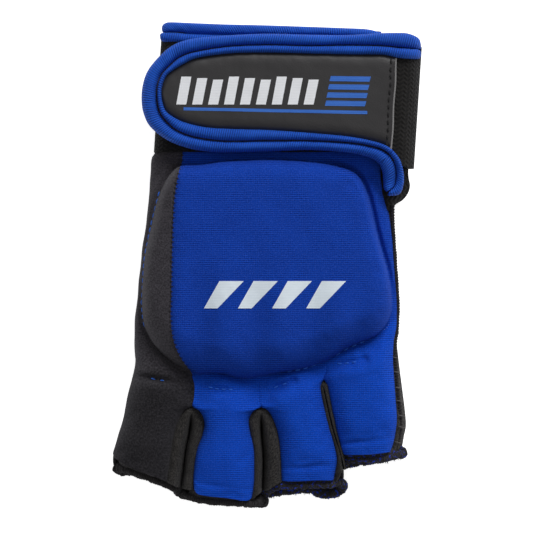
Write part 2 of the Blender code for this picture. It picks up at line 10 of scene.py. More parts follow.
import bpy
import numpy as np
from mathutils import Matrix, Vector


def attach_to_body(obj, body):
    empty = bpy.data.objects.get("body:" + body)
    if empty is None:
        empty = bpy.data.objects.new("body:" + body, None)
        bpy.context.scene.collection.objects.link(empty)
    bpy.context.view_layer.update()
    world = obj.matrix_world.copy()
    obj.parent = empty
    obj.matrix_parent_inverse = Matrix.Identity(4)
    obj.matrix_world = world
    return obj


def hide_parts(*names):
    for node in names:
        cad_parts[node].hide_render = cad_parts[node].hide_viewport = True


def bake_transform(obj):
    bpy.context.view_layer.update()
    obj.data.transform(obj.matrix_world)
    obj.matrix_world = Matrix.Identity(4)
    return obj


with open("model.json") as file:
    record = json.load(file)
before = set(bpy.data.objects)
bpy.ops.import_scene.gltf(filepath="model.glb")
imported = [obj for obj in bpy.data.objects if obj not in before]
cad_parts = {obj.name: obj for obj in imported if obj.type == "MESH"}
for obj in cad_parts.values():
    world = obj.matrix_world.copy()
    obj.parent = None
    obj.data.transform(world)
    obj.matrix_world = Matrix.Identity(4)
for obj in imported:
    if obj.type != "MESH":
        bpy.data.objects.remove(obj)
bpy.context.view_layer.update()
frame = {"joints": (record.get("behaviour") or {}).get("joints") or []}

MM = 0.001
JOINTS = {j["name"]: j for j in frame["joints"]}
DRAWN_HINGE = (-13.3, -39.0)
hinge = JOINTS["middle_flex"]["pos_m"]
OX, OY = hinge[0] / MM - DRAWN_HINGE[0], hinge[1] / MM - DRAWN_HINGE[1]
RNG = np.random.default_rng(11)
FINGERS = ("index", "middle", "ring", "little")


# ------------------------------------------------------------------------------------------------
# curves and fields
# ------------------------------------------------------------------------------------------------
def resample(points, n, closed=False):
    p = np.asarray(points, float)
    if closed:
        p = np.vstack([p, p[:1]])
    step = np.linalg.norm(np.diff(p, axis=0), axis=1)
    at = np.concatenate([[0], np.cumsum(step)])
    t = np.linspace(0, at[-1], n + 1)[:-1] if closed else np.linspace(0, at[-1], n)
    return np.stack([np.interp(t, at, p[:, k]) for k in range(p.shape[1])], 1)


def spline(points, n, closed=False):
    """Catmull-Rom through the points, then n points evenly along it."""
    p = np.asarray(points, float)
    if len(p) < 3:
        return resample(p, n, closed)
    if closed:
        q = np.vstack([p[-1:], p, p[:2]])
    else:
        q = np.vstack([2 * p[0] - p[1], p, 2 * p[-1] - p[-2]])
    t = np.linspace(0, 1, 12, endpoint=False)[:, None]
    out = []
    for i in range(1, len(q) - 2):
        a, b, c, d = q[i - 1 : i + 3]
        out.append(0.5 * (2 * b + (c - a) * t + (2 * a - 5 * b + 4 * c - d) * t**2 + (3 * b - a - 3 * c + d) * t**3))
    out = np.vstack(out)
    if not closed:
        out = np.vstack([out, p[-1:]])
    return resample(out, n, closed)


def length_of(p):
    return float(np.linalg.norm(np.diff(np.asarray(p, float), axis=0), axis=1).sum())


def smooth(t):
    t = np.clip(t, 0, 1)
    return t * t * (3 - 2 * t)


def bulge(t, power=2.3):
    """0 at the edge, rising steeply and levelling off at 1."""
    t = np.clip(t, 0, 1)
    return (1 - (1 - t) ** power) ** (1 / power)


def x_of_y(points):
    p = spline(points, 400)
    order = np.argsort(p[:, 1])
    return lambda y: np.interp(y, p[order, 1], p[order, 0])


def ripple(x, y, scale, seed):
    """Smooth noise of about -1 to 1, from a few waves in fixed directions."""
    r = np.random.default_rng(seed)
    out = np.zeros(np.broadcast(x, y).shape)
    for _ in range(7):
        a, k, ph = r.uniform(0, 2 * np.pi), r.uniform(0.7, 1.6) / scale, r.uniform(0, 2 * np.pi)
        out += np.sin(2 * np.pi * k * (x * np.cos(a) + y * np.sin(a)) + ph)
    return out / 4.2


def distance_in(x, y, poly):
    """Distance to a closed outline, positive inside."""
    shape = np.broadcast(x, y).shape
    px, py = np.broadcast_to(x, shape).ravel(), np.broadcast_to(y, shape).ravel()
    a, b = poly, np.roll(poly, -1, axis=0)
    out = np.empty(len(px))
    for s in range(0, len(px), 8000):
        qx, qy = px[s : s + 8000, None], py[s : s + 8000, None]
        ex, ey = (b - a)[:, 0], (b - a)[:, 1]
        wx, wy = qx - a[:, 0], qy - a[:, 1]
        t = np.clip((wx * ex + wy * ey) / (ex**2 + ey**2 + 1e-12), 0, 1)
        d = np.sqrt(((wx - t * ex) ** 2 + (wy - t * ey) ** 2).min(1))
        up = (a[:, 1] <= qy) & (b[:, 1] > qy)
        down = (a[:, 1] > qy) & (b[:, 1] <= qy)
        side = ex * (qy - a[:, 1]) - ey * (qx - a[:, 0])
        wind = (up & (side > 0)).sum(1) - (down & (side < 0)).sum(1)
        out[s : s + 8000] = np.where(wind != 0, d, -d)
    return out.reshape(shape)


def distance_to(x, y, line):
    """Distance to an open line, and how far along it (0 to 1) the nearest place is."""
    shape = np.broadcast(x, y).shape
    px, py = np.broadcast_to(x, shape).ravel()[:, None], np.broadcast_to(y, shape).ravel()[:, None]
    a, b = line[:-1], line[1:]
    e = b - a
    t = np.clip(((px - a[:, 0]) * e[:, 0] + (py - a[:, 1]) * e[:, 1]) / (e**2).sum(1), 0, 1)
    d = np.hypot(px - a[:, 0] - t * e[:, 0], py - a[:, 1] - t * e[:, 1])
    i = d.argmin(1)
    k = np.arange(len(i))
    return d[k, i].reshape(shape), ((i + t[k, i]) / len(a)).reshape(shape)


# ------------------------------------------------------------------------------------------------
# meshes
# ------------------------------------------------------------------------------------------------
def make(name, verts, faces, mat, fab=None, sharp=None):
    """A mesh object from points in drawing millimetres. fab is each point's place in its cloth, in millimetres."""
    verts = np.asarray(verts, float)
    world = (verts + np.array([OX, OY, 0.0])) * MM
    mesh = bpy.data.meshes.new(name)
    faces = [tuple(int(i) for i in f) for f in faces]
    mesh.from_pydata(world.tolist(), [], faces)
    mesh.validate()
    fab = verts if fab is None else np.asarray(fab, float)
    if fab.shape[1] == 2:
        fab = np.column_stack([fab, np.zeros(len(fab))])
    attribute = mesh.attributes.new("fab", "FLOAT_VECTOR", "POINT")
    attribute.data.foreach_set("vector", fab.astype(np.float32).ravel())
    mesh.shade_smooth()
    if sharp:
        mesh.set_sharp_from_angle(angle=math.radians(sharp))
    mesh.materials.append(mat)
    obj = bpy.data.objects.new(name, mesh)
    bpy.context.scene.collection.objects.link(obj)
    return obj


def normals_of(p):
    du = np.gradient(p, axis=1)
    dv = np.gradient(p, axis=0)
    n = np.cross(du, dv)
    n /= np.linalg.norm(n, axis=2, keepdims=True) + 1e-12
    return n


def grid_faces(m, n, wrap_u=False, wrap_v=False, base=0, flip=False):
    iu = np.arange(n if wrap_u else n - 1)
    iv = np.arange(m if wrap_v else m - 1)
    v, u = np.meshgrid(iv, iu, indexing="ij")
    a = v * n + u
    b = v * n + (u + 1) % n
    c = ((v + 1) % m) * n + (u + 1) % n
    d = ((v + 1) % m) * n + u
    f = np.stack([a, b, c, d], -1).reshape(-1, 4) + base
    return f[:, ::-1] if flip else f


def shell(name, p, thickness, mat, fab=None, sharp=50):
    """A closed sheet: p (m, n, 3) is its outer side, and the inner side lies thickness under it."""
    m, n, _ = p.shape
    nrm = normals_of(p)
    if nrm[..., 2].mean() < 0:
        p = p[:, ::-1]
        if fab is not None:
            fab = fab[:, ::-1]
        nrm = normals_of(p)
        if nrm[..., 2].mean() < 0:
            nrm = -nrm
    return _shell(name, p, nrm, thickness, mat, fab, sharp)


def _shell(name, p, nrm, thickness, mat, fab, sharp):
    m, n, _ = p.shape
    inner = p - nrm * np.asarray(thickness)[..., None] if np.ndim(thickness) else p - nrm * thickness
    verts = np.vstack([p.reshape(-1, 3), inner.reshape(-1, 3)])
    count = m * n
    # orientation: outer faces must look along nrm
    a, b, c = p[0, 0], p[0, 1], p[1, 1]
    out = np.dot(np.cross(b - a, c - b), nrm[0, 0]) > 0
    faces = [grid_faces(m, n, flip=not out), grid_faces(m, n, base=count, flip=out)]
    ring = np.concatenate([
        np.arange(n - 1), np.arange(m - 1) * n + n - 1, (m - 1) * n + np.arange(n - 1, 0, -1), np.arange(m - 1, 0, -1) * n,
    ])
    nxt = np.roll(ring, -1)
    rim = np.stack([ring, ring + count, nxt + count, nxt], 1)
    faces.append(rim if out else rim[:, ::-1])
    if fab is None:
        flat = p.reshape(-1, 3)[:, :2]
    else:
        flat = fab.reshape(count, -1)
    return make(name, verts, np.vstack(faces), mat, np.vstack([flat, flat]), sharp)


def walled(name, p, thickness, mat, outward, fab=None, sharp=50):
    """A closed sheet like shell, for walls: outward is the side (a vector) that p's faces look to."""
    nrm = normals_of(p)
    if (nrm.reshape(-1, 3) @ np.asarray(outward, float)).mean() < 0:
        nrm = -nrm
    return _shell(name, p, nrm, thickness, mat, fab, sharp)


def coons(top, bottom, left, right):
    """The patch between four edges; top and bottom run left to right, left and right run top to bottom."""
    n, m = len(top), len(left)
    u = np.linspace(0, 1, n)[None, :, None]
    v = np.linspace(0, 1, m)[:, None, None]
    ruled_v = (1 - v) * top[None] + v * bottom[None]
    ruled_u = (1 - u) * left[:, None] + u * right[:, None]
    corner = (1 - u) * (1 - v) * top[0] + u * (1 - v) * top[-1] + (1 - u) * v * bottom[0] + u * v * bottom[-1]
    return ruled_v + ruled_u - corner


def tangents(path, closed=False):
    if closed:
        t = np.roll(path, -1, axis=0) - np.roll(path, 1, axis=0)
    else:
        t = np.gradient(path, axis=0)
    return t / (np.linalg.norm(t, axis=1, keepdims=True) + 1e-12)


def tube(name, path, radius, mat, closed=False, sides=12, squash=1.0, up=(0, 0, 1), lump=0.0, pitch=0.9, seed=1,
         twist=0.0):
    """A cord along path. lump and pitch give it thread wraps; squash flattens it along up."""
    path = np.asarray(path, float)
    n = len(path)
    t = tangents(path, closed)
    up = np.broadcast_to(np.asarray(up, float), path.shape)
    side = np.cross(t, up)
    small = np.linalg.norm(side, axis=1, keepdims=True) < 0.15
    side = np.where(small, np.cross(t, np.array([0, 1, 0.0])), side)
    side /= np.linalg.norm(side, axis=1, keepdims=True) + 1e-12
    top = np.cross(side, t)
    step = np.linalg.norm(np.diff(path, axis=0), axis=1)
    s = np.concatenate([[0], np.cumsum(step)])
    a = np.linspace(0, 2 * np.pi, sides, endpoint=False)
    r = np.broadcast_to(np.asarray(radius, float), (n,))[:, None] * np.ones(sides)
    if lump:
        wrap = np.abs(np.sin(np.pi * s[:, None] / pitch + twist * a[None] / 2))
        r = r + lump * (wrap - 0.6)
        rr = np.random.default_rng(seed)
        wob = np.interp(s, np.linspace(0, s[-1], max(4, int(s[-1] / 1.7))), rr.uniform(-1, 1, max(4, int(s[-1] / 1.7))))
        wob2 = np.interp(s, np.linspace(0, s[-1], max(4, int(s[-1] / 0.9))), rr.uniform(-1, 1, max(4, int(s[-1] / 0.9))))
        r = r * (1 + 0.13 * wob[:, None] + 0.10 * wob2[:, None] * np.sin(a + 7 * wob[:, None]))
    ring = (np.cos(a)[None, :, None] * side[:, None] + np.sin(a)[None, :, None] * top[:, None] * squash) * r[..., None]
    verts = (path[:, None] + ring).reshape(-1, 3)
    faces = [list(f) for f in grid_faces(n, sides, wrap_u=True, wrap_v=closed)]
    if not closed:
        faces += [list(range(sides))[::-1], list(range((n - 1) * sides, n * sides))]
    fab = np.stack([np.repeat(s, sides), np.tile(a * float(np.mean(radius)), n)], 1)
    obj = make(name, verts, faces, mat, fab, 70)
    return obj


def capsule_chain(name, starts, ends, radius, mat, arch=0.25, sides=6, ups=None):
    """Many little stitches, each from a start to an end, in one mesh."""
    verts, faces, fab = [], [], []
    prof = [(0.0, 0.25), (0.12, 0.75), (0.35, 1.0), (0.65, 1.0), (0.88, 0.75), (1.0, 0.25)]
    for k, (p, q) in enumerate(zip(np.asarray(starts, float), np.asarray(ends, float))):
        d = q - p
        length = np.linalg.norm(d)
        t = d / (length + 1e-9)
        up = np.array([0, 0, 1.0]) if ups is None else np.asarray(ups[k], float)
        side = np.cross(t, up)
        side /= np.linalg.norm(side) + 1e-9
        top = np.cross(side, t)
        base = len(verts)
        for a, r in prof:
            centre = p + d * a + top * (arch * 4 * a * (1 - a) - 0.12) * radius * 2
            for j in range(sides):
                w = 2 * np.pi * j / sides
                verts.append(centre + (np.cos(w) * side + np.sin(w) * top) * radius * r)
                fab.append((length * a, w, 0))
        m = len(prof)
        for i in range(m - 1):
            for j in range(sides):
                faces.append((base + i * sides + j, base + i * sides + (j + 1) % sides,
                              base + (i + 1) * sides + (j + 1) % sides, base + (i + 1) * sides + j))
        faces.append(tuple(base + j for j in range(sides))[::-1])
        faces.append(tuple(base + (m - 1) * sides + j for j in range(sides)))
    return make(name, verts, faces, mat, fab, 80)


def stitch_run(name, line, height, pitch, length, radius, mat, lift=0.12, jitter=0.06):
    """Straight stitches along a line in the plane, lying on the height field."""
    total = length_of(line)
    count = max(1, int(total / pitch))
    fine = resample(line, 600)
    at = np.linspace(0, total, 600)
    starts, ends = [], []
    rr = np.random.default_rng(len(name) * 13 + count)
    for i in range(count):
        c = (i + 0.5) * total / count
        j = rr.normal(0, jitter, 4)
        a = [np.interp(c - length / 2, at, fine[:, k]) + j[k] for k in range(2)]
        b = [np.interp(c + length / 2, at, fine[:, k]) + j[k + 2] for k in range(2)]
        starts.append([*a, float(height(np.array(a[0]), np.array(a[1]))) + lift])
        ends.append([*b, float(height(np.array(b[0]), np.array(b[1]))) + lift])
    return capsule_chain(name, starts, ends, radius, mat)


# ------------------------------------------------------------------------------------------------
# materials
# ------------------------------------------------------------------------------------------------
class Nodes:
    def __init__(self, name, roughness=0.7):
        self.mat = bpy.data.materials.new(name)
        self.mat.use_nodes = True
        self.tree = self.mat.node_tree
        self.bsdf = self.tree.nodes["Principled BSDF"]
        self.bsdf.inputs["Roughness"].default_value = roughness
        self.n = 0

    def add(self, kind, **inputs):
        node = self.tree.nodes.new(kind)
        self.n += 1
        node.location = (-200 * (self.n // 6) - 300, 200 * (self.n % 6))
        for key, value in inputs.items():
            self.put(node, key, value)
        return node

    def put(self, node, key, value):
        socket = node.inputs[key] if not str(key).isdigit() else node.inputs[int(key)]
        if hasattr(value, "is_output"):
            self.tree.links.new(value, socket)
        elif hasattr(value, "outputs"):
            self.tree.links.new(value.outputs[0], socket)
        else:
            socket.default_value = value

    def math(self, op, a, b=0.0, clamp=False):
        node = self.tree.nodes.new("ShaderNodeMath")
        node.operation = op
        node.use_clamp = clamp
        for i, v in enumerate((a, b)):
            if hasattr(v, "is_output"):
                self.tree.links.new(v, node.inputs[i])
            else:
                node.inputs[i].default_value = v
        return node.outputs[0]

    def fab(self):
        node = self.tree.nodes.new("ShaderNodeAttribute")
        node.attribute_name = "fab"
        split = self.tree.nodes.new("ShaderNodeSeparateXYZ")
        self.tree.links.new(node.outputs["Vector"], split.inputs[0])
        return node.outputs["Vector"], split.outputs[0], split.outputs[1]

    def noise(self, vector, scale, detail=3.0, rough=0.6):
        node = self.tree.nodes.new("ShaderNodeTexNoise")
        self.tree.links.new(vector, node.inputs["Vector"])
        node.inputs["Scale"].default_value = scale
        node.inputs["Detail"].default_value = detail
        node.inputs["Roughness"].default_value = rough
        return node.outputs[0]

    def wave(self, value, pitch, phase=0.0):
        """A sine of value (mm) with this pitch, 0 to 1."""
        a = self.math("MULTIPLY", value, 2 * math.pi / pitch)
        if hasattr(phase, "is_output") or phase:
            a = self.math("ADD", a, phase)
        return self.math("ADD", self.math("MULTIPLY", self.math("SINE", a), 0.5), 0.5)

    def mix(self, factor, a, b):
        node = self.tree.nodes.new("ShaderNodeMix")
        node.data_type = "RGBA"
        self.put_socket(node.inputs[0], factor)
        self.put_socket(node.inputs[6], a)
        self.put_socket(node.inputs[7], b)
        return node.outputs[2]

    def put_socket(self, socket, value):
        if hasattr(value, "is_output"):
            self.tree.links.new(value, socket)
        else:
            socket.default_value = value

    def bump(self, height, distance, strength=1.0, normal=None):
        node = self.tree.nodes.new("ShaderNodeBump")
        node.inputs["Strength"].default_value = strength
        node.inputs["Distance"].default_value = distance * MM
        self.tree.links.new(height, node.inputs["Height"])
        if normal is not None:
            self.tree.links.new(normal, node.inputs["Normal"])
        return node.outputs[0]

    def ramp_between(self, value, low, high):
        node = self.add("ShaderNodeMapRange")
        node.interpolation_type = "SMOOTHSTEP"
        node.inputs["From Min"].default_value = low
        node.inputs["From Max"].default_value = high
        self.tree.links.new(value, node.inputs["Value"])
        return node.outputs["Result"]

    def out(self, color=None, roughness=None, normal=None, sheen=None, sheen_tint=None, specular=None):
        if color is not None:
            self.put_socket(self.bsdf.inputs["Base Color"], color)
        if roughness is not None:
            self.put_socket(self.bsdf.inputs["Roughness"], roughness)
        if normal is not None:
            self.put_socket(self.bsdf.inputs["Normal"], normal)
        if sheen is not None:
            self.bsdf.inputs["Sheen Weight"].default_value = sheen
            self.bsdf.inputs["Sheen Roughness"].default_value = 0.72
        if sheen_tint is not None:
            self.bsdf.inputs["Sheen Tint"].default_value = sheen_tint
        if specular is not None:
            self.bsdf.inputs["Specular IOR Level"].default_value = specular
        return self.mat


def srgb(r, g, b, gain=1.0):
    def lin(c):
        c /= 255
        return (c / 12.92 if c <= 0.04045 else ((c + 0.055) / 1.055) ** 2.4) * gain
    return (lin(r), lin(g), lin(b), 1.0)


def knit(name, dark, light, pitch=0.70, rib=0.05, fuzz=0.04, sheen=0.25, tint=(0.4, 0.6, 1, 1), contrast=0.5, rough=0.75,
         speck_color=srgb(70, 102, 208)):
    """Jersey laminated on foam: fine courses across the hand, wales down it, and a slight nap."""
    k = Nodes(name, rough)
    vec, x, y = k.fab()
    wobble = k.math("ADD", k.math("MULTIPLY", k.noise(vec, 0.35, 2), 1.6), k.math("MULTIPLY", k.noise(vec, 0.9, 2), 1.9))
    course = k.wave(y, pitch, wobble)
    wale = k.wave(x, pitch * 0.86, k.math("MULTIPLY", wobble, 1.4))
    grain = k.noise(vec, 2.6, 5, 0.8)
    cloud = k.noise(vec, 0.09, 3)
    shown = k.math("ADD", k.math("MULTIPLY", k.math("SUBTRACT", k.noise(vec, 0.13, 3), 0.5), 2.4), 0.62, clamp=True)
    weave = k.math("ADD", k.math("MULTIPLY", course, 0.74), k.math("MULTIPLY", wale, 0.26))
    weave = k.math("ADD", k.math("MULTIPLY", k.math("SUBTRACT", weave, 0.5), shown), 0.5)
    f = k.math("ADD", k.math("MULTIPLY", k.math("SUBTRACT", weave, 0.5), contrast * 1.75), 0.5 * contrast)
    f = k.math("ADD", f, k.math("MULTIPLY", k.math("SUBTRACT", grain, 0.295), 1.5))
    f = k.math("ADD", f, k.math("MULTIPLY", k.math("SUBTRACT", cloud, 0.5), 0.3), clamp=True)
    color = k.mix(f, dark, light)
    # pale specks of worn nap
    speck = k.math("MULTIPLY", k.math("SUBTRACT", k.noise(vec, 2.2, 4, 0.75), 0.50), 4.2, clamp=True)
    color = k.mix(k.math("MULTIPLY", speck, 0.52), color, speck_color)
    n1 = k.bump(weave, rib)
    n2 = k.bump(grain, fuzz, normal=n1)
    roughness = k.math("ADD", k.math("MULTIPLY", grain, 0.2), rough - 0.1)
    return k.out(color, roughness, n2, sheen, tint, 0.03)


def felted(name, dark, light, fuzz=0.13, sheen=0.08, scale=2.1, fade=None, gain=1.9):
    """Matte neoprene with a short brushed face."""
    k = Nodes(name, 0.9)
    vec, x, y = k.fab()
    grain = k.noise(vec, scale, 5, 0.75)
    fine = k.noise(vec, scale * 3.1, 3, 0.7)
    cloud = k.noise(vec, 0.12, 3)
    f = k.math("ADD", k.math("MULTIPLY", k.math("SUBTRACT", grain, 0.5), gain), 0.38)
    f = k.math("ADD", f, k.math("MULTIPLY", k.math("SUBTRACT", cloud, 0.5), 0.5), clamp=True)
    if fade:
        # towards the second pair of tones from one y to the other
        part = k.ramp_between(y, fade[0], fade[1])
        dark = k.mix(part, dark, fade[2])
        light = k.mix(part, light, fade[3])
    color = k.mix(f, dark, light)
    n = k.bump(grain, fuzz)
    n = k.bump(fine, fuzz * 0.5, normal=n)
    return k.out(color, 0.95, n, sheen, (0.75, 0.75, 0.8, 1), 0.07)


def taped_cloth(name, dark, light):
    """Folded elastic tape: fine slanting ribs across it, with painted highlight on their crests and painted shade in
    their grooves.
    """
    k = Nodes(name, 0.6)
    vec, x, y = k.fab()
    lean = k.math("MULTIPLY", y, 2.2)
    rib = k.wave(x, 0.74, lean)
    thread = k.wave(y, 0.31)
    grain = k.noise(vec, 4.0, 3)
    cloud = k.noise(vec, 0.12, 2)
    # the ribs set the colour as well as the bump: crests are painted lighter and grooves darker, a painted highlight
    # and shade
    f = k.math("ADD", k.math("ADD", k.math("MULTIPLY", rib, 0.56), 0.07), k.math("MULTIPLY", grain, 0.34))
    f = k.math("ADD", f, k.math("MULTIPLY", k.math("SUBTRACT", cloud, 0.5), 0.4), clamp=True)
    color = k.mix(f, dark, light)
    n = k.bump(k.math("ADD", rib, k.math("MULTIPLY", thread, 0.3)), 0.085)
    return k.out(color, 0.65, n, 0.06, (0.4, 0.6, 1, 1), 0.15)


def woven(name, dark, light):
    """Elastic webbing: columns of slanting picks that change side from one column to the next."""
    k = Nodes(name, 0.8)
    vec, x, y = k.fab()
    column = k.math("MULTIPLY", k.math("ABSOLUTE", k.math("SUBTRACT", k.math("FRACT", k.math("DIVIDE", x, 2.9)), 0.5)), 2.0)
    pick = k.wave(y, 1.45, k.math("MULTIPLY", column, 4.2))
    edge = k.wave(x, 1.45)
    grain = k.noise(vec, 5.0, 3)
    h = k.math("ADD", k.math("MULTIPLY", pick, 0.75), k.math("MULTIPLY", edge, 0.25))
    f = k.math("ADD", k.math("MULTIPLY", h, 0.7), k.math("MULTIPLY", grain, 0.35), clamp=True)
    color = k.mix(f, dark, light)
    n = k.bump(h, 0.30)
    n = k.bump(grain, 0.05, normal=n)
    return k.out(color, 0.9, n, 0.05, (0.8, 0.8, 0.85, 1), 0.2)


def coated(name, dark, light):
    """Smooth coated synthetic leather with a faint grain."""
    k = Nodes(name, 0.5)
    vec, x, y = k.fab()
    cell = k.tree.nodes.new("ShaderNodeTexVoronoi")
    k.tree.links.new(vec, cell.inputs["Vector"])
    cell.inputs["Scale"].default_value = 2.6
    grain = k.noise(vec, 1.4, 4, 0.6)
    cloud = k.noise(vec, 0.06, 2)
    color = k.mix(k.math("ADD", k.math("MULTIPLY", grain, 0.5), k.math("MULTIPLY", cloud, 0.5)), dark, light)
    n = k.bump(cell.outputs[0], 0.02)
    n = k.bump(grain, 0.05, normal=n)
    rough = k.math("ADD", k.math("MULTIPLY", grain, 0.15), 0.42)
    return k.out(color, rough, n, 0.05, (1, 1, 1, 1), 0.4)


def thread(name, dark, light):
    k = Nodes(name, 0.6)
    vec, x, y = k.fab()
    ply = k.wave(x, 0.42, k.math("MULTIPLY", y, 2.0))
    grain = k.noise(vec, 6.0, 2)
    color = k.mix(k.math("ADD", k.math("MULTIPLY", ply, 0.6), k.math("MULTIPLY", grain, 0.4), clamp=True), dark, light)
    return k.out(color, 0.6, k.bump(ply, 0.05), 0.04, (1, 1, 1, 1), 0.12)


def overlocked(name, dark, light, pop, share=0.62):
    """Dense overlock thread, with the cloth under it showing through here and there."""
    k = Nodes(name, 0.85)
    vec, x, y = k.fab()
    ply = k.wave(x, 0.55, k.math("MULTIPLY", y, 1.3))
    grain = k.noise(vec, 3.5, 4, 0.75)
    color = k.mix(k.math("ADD", k.math("MULTIPLY", ply, 0.55), k.math("MULTIPLY", grain, 0.5), clamp=True), dark, light)
    if pop is not None:
        patch = k.noise(vec, 0.9, 2, 0.5)
        gate = k.math("MULTIPLY", k.math("SUBTRACT", patch, share), 9.0, clamp=True)
        color = k.mix(gate, color, pop)
    n = k.bump(ply, 0.12)
    n = k.bump(grain, 0.15, normal=n)
    return k.out(color, 0.9, n, 0.05, (0.8, 0.8, 0.9, 1), 0.1)


def looped(name, dark, light, scale=2.2):
    """Loop or hook tape: a field of tiny tufts."""
    k = Nodes(name, 0.95)
    vec, x, y = k.fab()
    cell = k.tree.nodes.new("ShaderNodeTexVoronoi")
    k.tree.links.new(vec, cell.inputs["Vector"])
    cell.inputs["Scale"].default_value = scale
    color = k.mix(cell.outputs[0], light, dark)
    return k.out(color, 0.95, k.bump(cell.outputs[0], 0.3), 0.4, (0.8, 0.8, 0.8, 1), 0.2)


def printed(name, dark, light):
    """Screen-printed ink, slightly worn by the cloth under it."""
    k = Nodes(name, 0.55)
    vec, x, y = k.fab()
    course = k.wave(y, 0.52)
    grain = k.noise(vec, 3.0, 4, 0.7)
    f = k.math("ADD", k.math("MULTIPLY", course, 0.25), k.math("MULTIPLY", grain, 0.75), clamp=True)
    return k.out(k.mix(f, dark, light), 0.55, k.bump(course, 0.03), 0.0, (1, 1, 1, 1), 0.35)


def foamy(name, dark, light):
    k = Nodes(name, 0.95)
    vec, x, y = k.fab()
    cell = k.tree.nodes.new("ShaderNodeTexVoronoi")
    k.tree.links.new(vec, cell.inputs["Vector"])
    cell.inputs["Scale"].default_value = 1.6
    return k.out(k.mix(cell.outputs[0], dark, light), 0.95, k.bump(cell.outputs[0], 0.1), 0.0, (1, 1, 1, 1), 0.2)


BLUE_KNIT = knit("knit_blue", srgb(4, 15, 84), srgb(22, 74, 190), sheen=0.02, contrast=0.50, rough=0.85)
# the fingers' cover is the back's blue knit; this copy is painted lighter and bluer, painted light for the brighter
# light on the fingers
BLUE_FINGER_PAINTED_LIGHTER = knit("knit_blue_finger_painted_lighter", srgb(2, 19, 99), srgb(17, 84, 213), sheen=0.02, contrast=0.50, rough=0.85)
BLACK_NEO = felted("neoprene_black", srgb(33, 31, 35), srgb(77, 74, 80), scale=1.7, gain=2.7)
BLACK_INDEX = felted("neoprene_black_finger", srgb(10, 9, 12), srgb(52, 50, 54), scale=1.5, gain=3.4,
                     fade=(-41.0, -28.0, srgb(33, 31, 35), srgb(77, 74, 80)))
BLACK_FELT = felted("fourchette_black", srgb(10, 9, 9), srgb(76, 73, 70), fuzz=0.4, scale=1.7, gain=3.4)
TAPE_BLUE = taped_cloth("tape_blue", srgb(2, 25, 106), srgb(27, 97, 214))
WEB_BLACK = woven("webbing_black", srgb(1, 1, 1), srgb(26, 24, 21))
LABEL = coated("label_coated", srgb(25, 23, 25), srgb(35, 33, 35))
LABEL_EDGE = coated("label_cut_edge", srgb(96, 95, 96), srgb(140, 138, 138))
THREAD_BLUE = thread("thread_blue", srgb(14, 62, 178), srgb(58, 132, 240))
THREAD_BLACK = thread("thread_black", srgb(12, 12, 13), srgb(46, 45, 46))
THREAD_GREY = thread("thread_grey", srgb(44, 43, 43), srgb(104, 100, 100))
OVERLOCK = overlocked("overlock_black", srgb(8, 8, 9), srgb(58, 55, 55), None)
OVERLOCK_BLUE = overlocked("overlock_black_on_blue", srgb(8, 8, 10), srgb(54, 52, 54), srgb(30, 58, 172), 0.56)
FLEECE = felted("lining_fleece", srgb(26, 26, 28), srgb(60, 60, 62), fuzz=0.25, sheen=0.5, scale=2.0)
HOOKS = looped("hook_tape", srgb(10, 10, 10), srgb(60, 58, 58), 1.5)
LOOPS = looped("loop_tape", srgb(14, 14, 15), srgb(70, 68, 68), 2.4)
FOAM = foamy("foam_grey", srgb(74, 73, 72), srgb(118, 116, 113))
INK_WHITE = printed("ink_white", srgb(206, 221, 235), srgb(240, 247, 252))
INK_BLUE = printed("ink_blue", srgb(30, 80, 170), srgb(58, 122, 214))
INK_LABEL = printed("ink_label_white", srgb(214, 217, 222), srgb(244, 245, 248))


def attach(obj, body, *nodes, slot=None):
    """body is a body's name, whose empty the object is parented to; for ("hand", finger), cloth that bends across that
    finger's joint, and "fold", what bends across the strap's, it only bakes the transform and leaves the object
    unparented."""
    if body == "fold":
        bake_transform(obj)
    elif isinstance(body, tuple):
        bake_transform(obj)
    else:
        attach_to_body(obj, body)
    if nodes:
        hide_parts(*nodes)
    return obj


# ------------------------------------------------------------------------------------------------
# the back of the hand
# ------------------------------------------------------------------------------------------------
LEFT = x_of_y([(-32.6, 82.5), (-33.2, 70), (-34.0, 55), (-34.6, 44), (-36.4, 40.2), (-38.1, 37), (-38.5, 31),
               (-39.3, 19.3), (-41, 9), (-42, -2), (-43.2, -12), (-43.7, -18), (-43.7, -23), (-43.5, -29),
               (-43.9, -35)])
RIGHT = x_of_y([(38.6, 82.5), (38, 60), (38, 39), (38.5, 34), (39, 27.8), (40, 22.7), (41, 19), (41.7, 14.2),
                (42.3, 9), (43, -0.2), (43.7, -9), (43.8, -15.5), (43.4, -20), (42.5, -24), (42.2, -30)])
SEAM_LINE = [(-27, 82), (-27.4, 60), (-27.7, 39), (-28.5, 33.6), (-30.2, 22.7), (-30.9, 5.7), (-31.1, -7), (-31.3, -16),
             (-30.5, -23), (-28.1, -29), (-24.6, -34.4), (-23.4, -39)]
SEAM = x_of_y(SEAM_LINE)
PAD = spline([(-28.3, 34.6), (-21.5, 35.1), (-14.7, 36.1), (-8, 36.5), (-1, 36.8), (4.7, 36.7), (11.5, 36.3),
              (18.3, 35.6), (23.3, 34.6), (27.2, 33.5), (30.0, 31.9), (32.2, 29.0), (34.0, 24.4), (35.3, 19.3),
              (36.6, 13.4), (38.4, 6.8), (40.2, 0.6), (41.3, -4.8), (41.9, -10.3), (41.6, -14.2), (39.9, -18.2),
              (37.1, -21.2), (33.7, -23), (30.3, -24.3), (26.6, -26), (23.3, -28), (19.8, -30), (15, -31.8),
              (9.2, -33.2), (3.8, -34.1), (-2, -35.2), (-6, -35.9), (-9.6, -35.6), (-13.2, -34.6), (-17.9, -34.1),
              (-22.6, -34.5), (-27.1, -32.5), (-31.8, -29.8), (-36.3, -25.7), (-39, -21.7), (-40.7, -17.2),
              (-41.2, -10.3), (-40.9, -1.2), (-40.3, 5), (-39.3, 9.7), (-38, 15.2), (-36.6, 21.6), (-34.6, 27),
              (-31.8, 31.8)], 420, closed=True)
